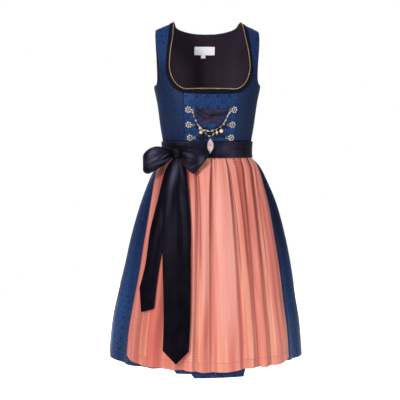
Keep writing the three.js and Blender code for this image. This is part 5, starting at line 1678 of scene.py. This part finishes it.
upper_line, lower_line = chain_line(UPPER_CHAIN), chain_line(LOWER_CHAIN)
upper = bmesh.new()
stamp(upper, link_shape, *chain_links(upper_line))
leaf, leaf_ring = leaf_shape(), wire_ring(0.9, 0.28, 10, 5)
for x in LEAVES_X:
    hung_at = Vector(upper_line[nearest(upper_line, x)])
    low = Matrix.Translation(hung_at + Vector((0, -0.4, -5.4)))
    stamp(upper, leaf, low @ Matrix.Rotation(0.3 * x / 40, 4, "Y"))
    ring_place = Matrix.Translation(hung_at + Vector((0, 0, -1.7)))
    stamp(upper, leaf_ring, ring_place @ Matrix.Rotation(math.pi / 2, 4, "Y"))
lower = bmesh.new()
stamp(lower, link_shape, *chain_links(lower_line))
for name, whole in (("chain_upper", upper), ("chain_lower", lower)):
    mesh = in_metres(whole, f"{name}_links")
    # Painted highlights and shade: the links are marked bright and dark by threes, as if they turned in
    # the light, so that they flash and darken down the chain.
    link = np.arange(len(mesh.vertices)) // len(link_shape.vertices)
    mark(mesh, "wear_and_painted_glint", np.clip(0.42 + 0.6 * np.sin(2.0 * link), 0.05, 0.85))
    put(f"{name}_links", mesh, gilt, nodes=(name,))


def hanging(line, x):
    """Where a charm hangs on a chain: the ring's middle, the chain's direction, the ring's foot."""
    i = nearest(line, x)
    point = Vector(line[i])
    tangent = Vector(line[i + 3] - line[i - 3]).normalized()
    foot = (Vector((0, 0, -1)) + tangent * tangent.z).normalized() * RING["radius"]
    return point, tangent, foot


def charm_ring(whole, point, tangent):
    turned = Vector((0, 0, 1)).rotation_difference(tangent).to_matrix().to_4x4()
    stamp(whole, wire_ring(RING["radius"], RING["wire"], 20), Matrix.Translation(point) @ turned)


def post(radius, top, foot):
    part = bmesh.new()
    middle = Matrix.Translation((top + foot) / 2)
    bmesh.ops.create_cone(part, cap_ends=True, segments=10, radius1=radius, radius2=radius,
                          depth=(top - foot).length, matrix=middle)
    return shape_of(part)


def nacre():
    """Cream pearl with a soft play of tone and a faint pink sheen under a hard skin."""
    finish = Finish("nacre", 0.22, **{
        "Specular IOR Level": 0.6, "Coat Roughness": 0.08, "Sheen Weight": 0.2,
        "Sheen Tint": dye(255, 225, 220)})
    play = finish.cloudy(260, 1.0)
    colour = finish.mix(dye(196, 168, 122), dye(234, 212, 180), play.soft(0.3, 0.7))
    finish.set({"Base Color": colour})
    finish.set({"Coat Weight": 0.6 + 0.2 * play})
    return finish


# Each pearl's sideways place on the chain, the height of its middle, and its radius.
PEARLS = {
    "pearl_right": (-27, -329, 4.75), "pearl_small": (17.5, -328.5, 3.8), "pearl_left": (29.5, -325, 5.6),
}
POST_RADIUS = 0.5
cap_gilt = old_gilt("cap_gilt", hollows=False)
pearl_skin = nacre()
for name, (x, centre_z, radius) in PEARLS.items():
    point, tangent, foot = hanging(upper_line, x)
    centre = Vector((point.x + foot.x, point.y + foot.y, centre_z))
    ball = bmesh.new()
    stamp(ball, grain(radius, 36), Matrix.Translation(centre))
    put(f"{name}_bead", in_metres(ball, f"{name}_bead"), pearl_skin, body=name, nodes=(name,))
    mount = bmesh.new()
    charm_ring(mount, point, tangent)
    crown = centre + Vector((0, 0, radius))
    stamp(mount, post(POST_RADIUS, point + foot, crown), Matrix.Identity(4))
    cap = Matrix.Translation(crown - Vector((0, 0, 0.7)))
    stamp(mount, wire_ring(radius * 0.42, 0.35, 20), cap)
    stamp(mount, grain(0.42, 8), *(cap @ place for place in round_places(7, radius * 0.55, -0.6)))
    stamp(mount, grain(radius * 0.3, 12), Matrix.Translation(crown))
    base = centre - Vector((0, 0, radius))
    stamp(mount, grain(0.6, 8), Matrix.Translation(base))
    if name == "pearl_small":
        below = Matrix.Translation(base - Vector((0, 0, RINGLET["radius"] - 0.3)))
        facing = Matrix.Rotation(math.pi / 2, 4, "X")
        stamp(mount, wire_ring(RINGLET["radius"], RINGLET["wire"], 20), below @ facing)
    put(f"{name}_cap", in_metres(mount, f"{name}_cap"), cap_gilt, body=name)

PENDANT = {"wide": 21, "tall": 42, "inset": 1.0, "slim": 0.875, "top_z": -346.5}
RIM = {"wire": 1.0, "sides": 8, "step": 0.6, "bead": 1.7, "steps_to_a_bead": 9}
point, tangent, foot = hanging(lower_line, 0)
middle_z = PENDANT["top_z"] - PENDANT["tall"] / 2
half_wide = (PENDANT["wide"] / 2 - PENDANT["inset"]) * PENDANT["slim"]
half_tall = PENDANT["tall"] / 2 - PENDANT["inset"]


def marquise(share):
    """Half the pendant's width at a share of its height, where each side is one curve."""
    return 4 * share * (1 - share) * half_wide


share = np.linspace(0, 1, 60)
left_side = np.stack([marquise(share), 0 * share, lerp(-half_tall, half_tall, share)], axis=-1)
outline = np.vstack([left_side, (left_side * (-1, 1, 1))[::-1][1:-1]])
outline = outline + np.array([point.x, point.y, middle_z])
rim = bmesh.new()
charm_ring(rim, point, tangent)
tip = Vector((point.x, point.y, middle_z + half_tall))
stamp(rim, post(POST_RADIUS, point + foot, tip), Matrix.Identity(4))
edge = evenly(np.vstack([outline, outline[:1]]), RIM["step"])
add_tube(rim, tube(edge, RIM["wire"], RIM["sides"]))
plain_points = len(rim.verts)
bead = grain(RIM["bead"], 10)
for place in edge[::RIM["steps_to_a_bead"]]:
    stamp(rim, bead, Matrix.Translation(Vector(place) + Vector((0, -0.6, 0))))
rim_mesh = in_metres(rim, "pendant_frame")
# The beads are rubbed bright, and the plain wire between them stays dark.
mark(rim_mesh, "wear_and_painted_glint", np.where(np.arange(len(rim_mesh.vertices)) < plain_points, 0.15, 0.9))
put("pendant_frame", rim_mesh, gilt, body="pendant", nodes=("pendant",))


def pink_shell():
    """Polished pink shell with a faint grain along it and a pale bloom."""
    finish = Finish("pink_shell", 0.24, **{"Specular IOR Level": 0.55, "Coat Roughness": 0.1})
    grainy = finish.cloudy(170, 3.0, (1, 1, 0.3))
    bloom = finish.cloudy(60, 1.0)
    colour = finish.mix(dye(168, 132, 136), dye(216, 186, 186), grainy.soft(0.3, 0.7))
    finish.set({"Base Color": finish.mix(colour, dye(206, 196, 208), bloom.soft(0.45, 0.7) * 0.5)})
    finish.set({"Coat Weight": 0.5 + 0.3 * bloom})
    finish.relief(grainy * 0.00012)
    return finish


SHELL = {"thick": 1.6, "bulge": 1.5, "of_width": 0.84, "of_height": 0.9}
up_it, across_it = np.meshgrid(np.linspace(0.01, 0.99, 50), np.linspace(-1, 1, 26), indexing="ij")
bulge = SHELL["bulge"] * np.sqrt(np.maximum(1 - across_it ** 2, 0)) * np.sin(np.pi * up_it) ** 0.6
facet = 0.3 * np.abs(np.sin(across_it * 6)) * np.sin(np.pi * up_it)
shell_points = np.stack([
    point.x + across_it * marquise(up_it) * SHELL["of_width"],
    point.y - bulge - facet * 0.3,
    middle_z + lerp(-half_tall, half_tall, up_it) * SHELL["of_height"],
], axis=-1)
shell_flat = np.stack([across_it * 8, up_it * 40], axis=-1)
shell_mesh = mesh_of("pendant_shell", shell_points, shell_flat)
shell = put("pendant_shell", shell_mesh, pink_shell(), body="pendant")
slab = shell.modifiers.new("slab", "SOLIDIFY")
slab.thickness = SHELL["thick"] * MM
slab.offset = 0
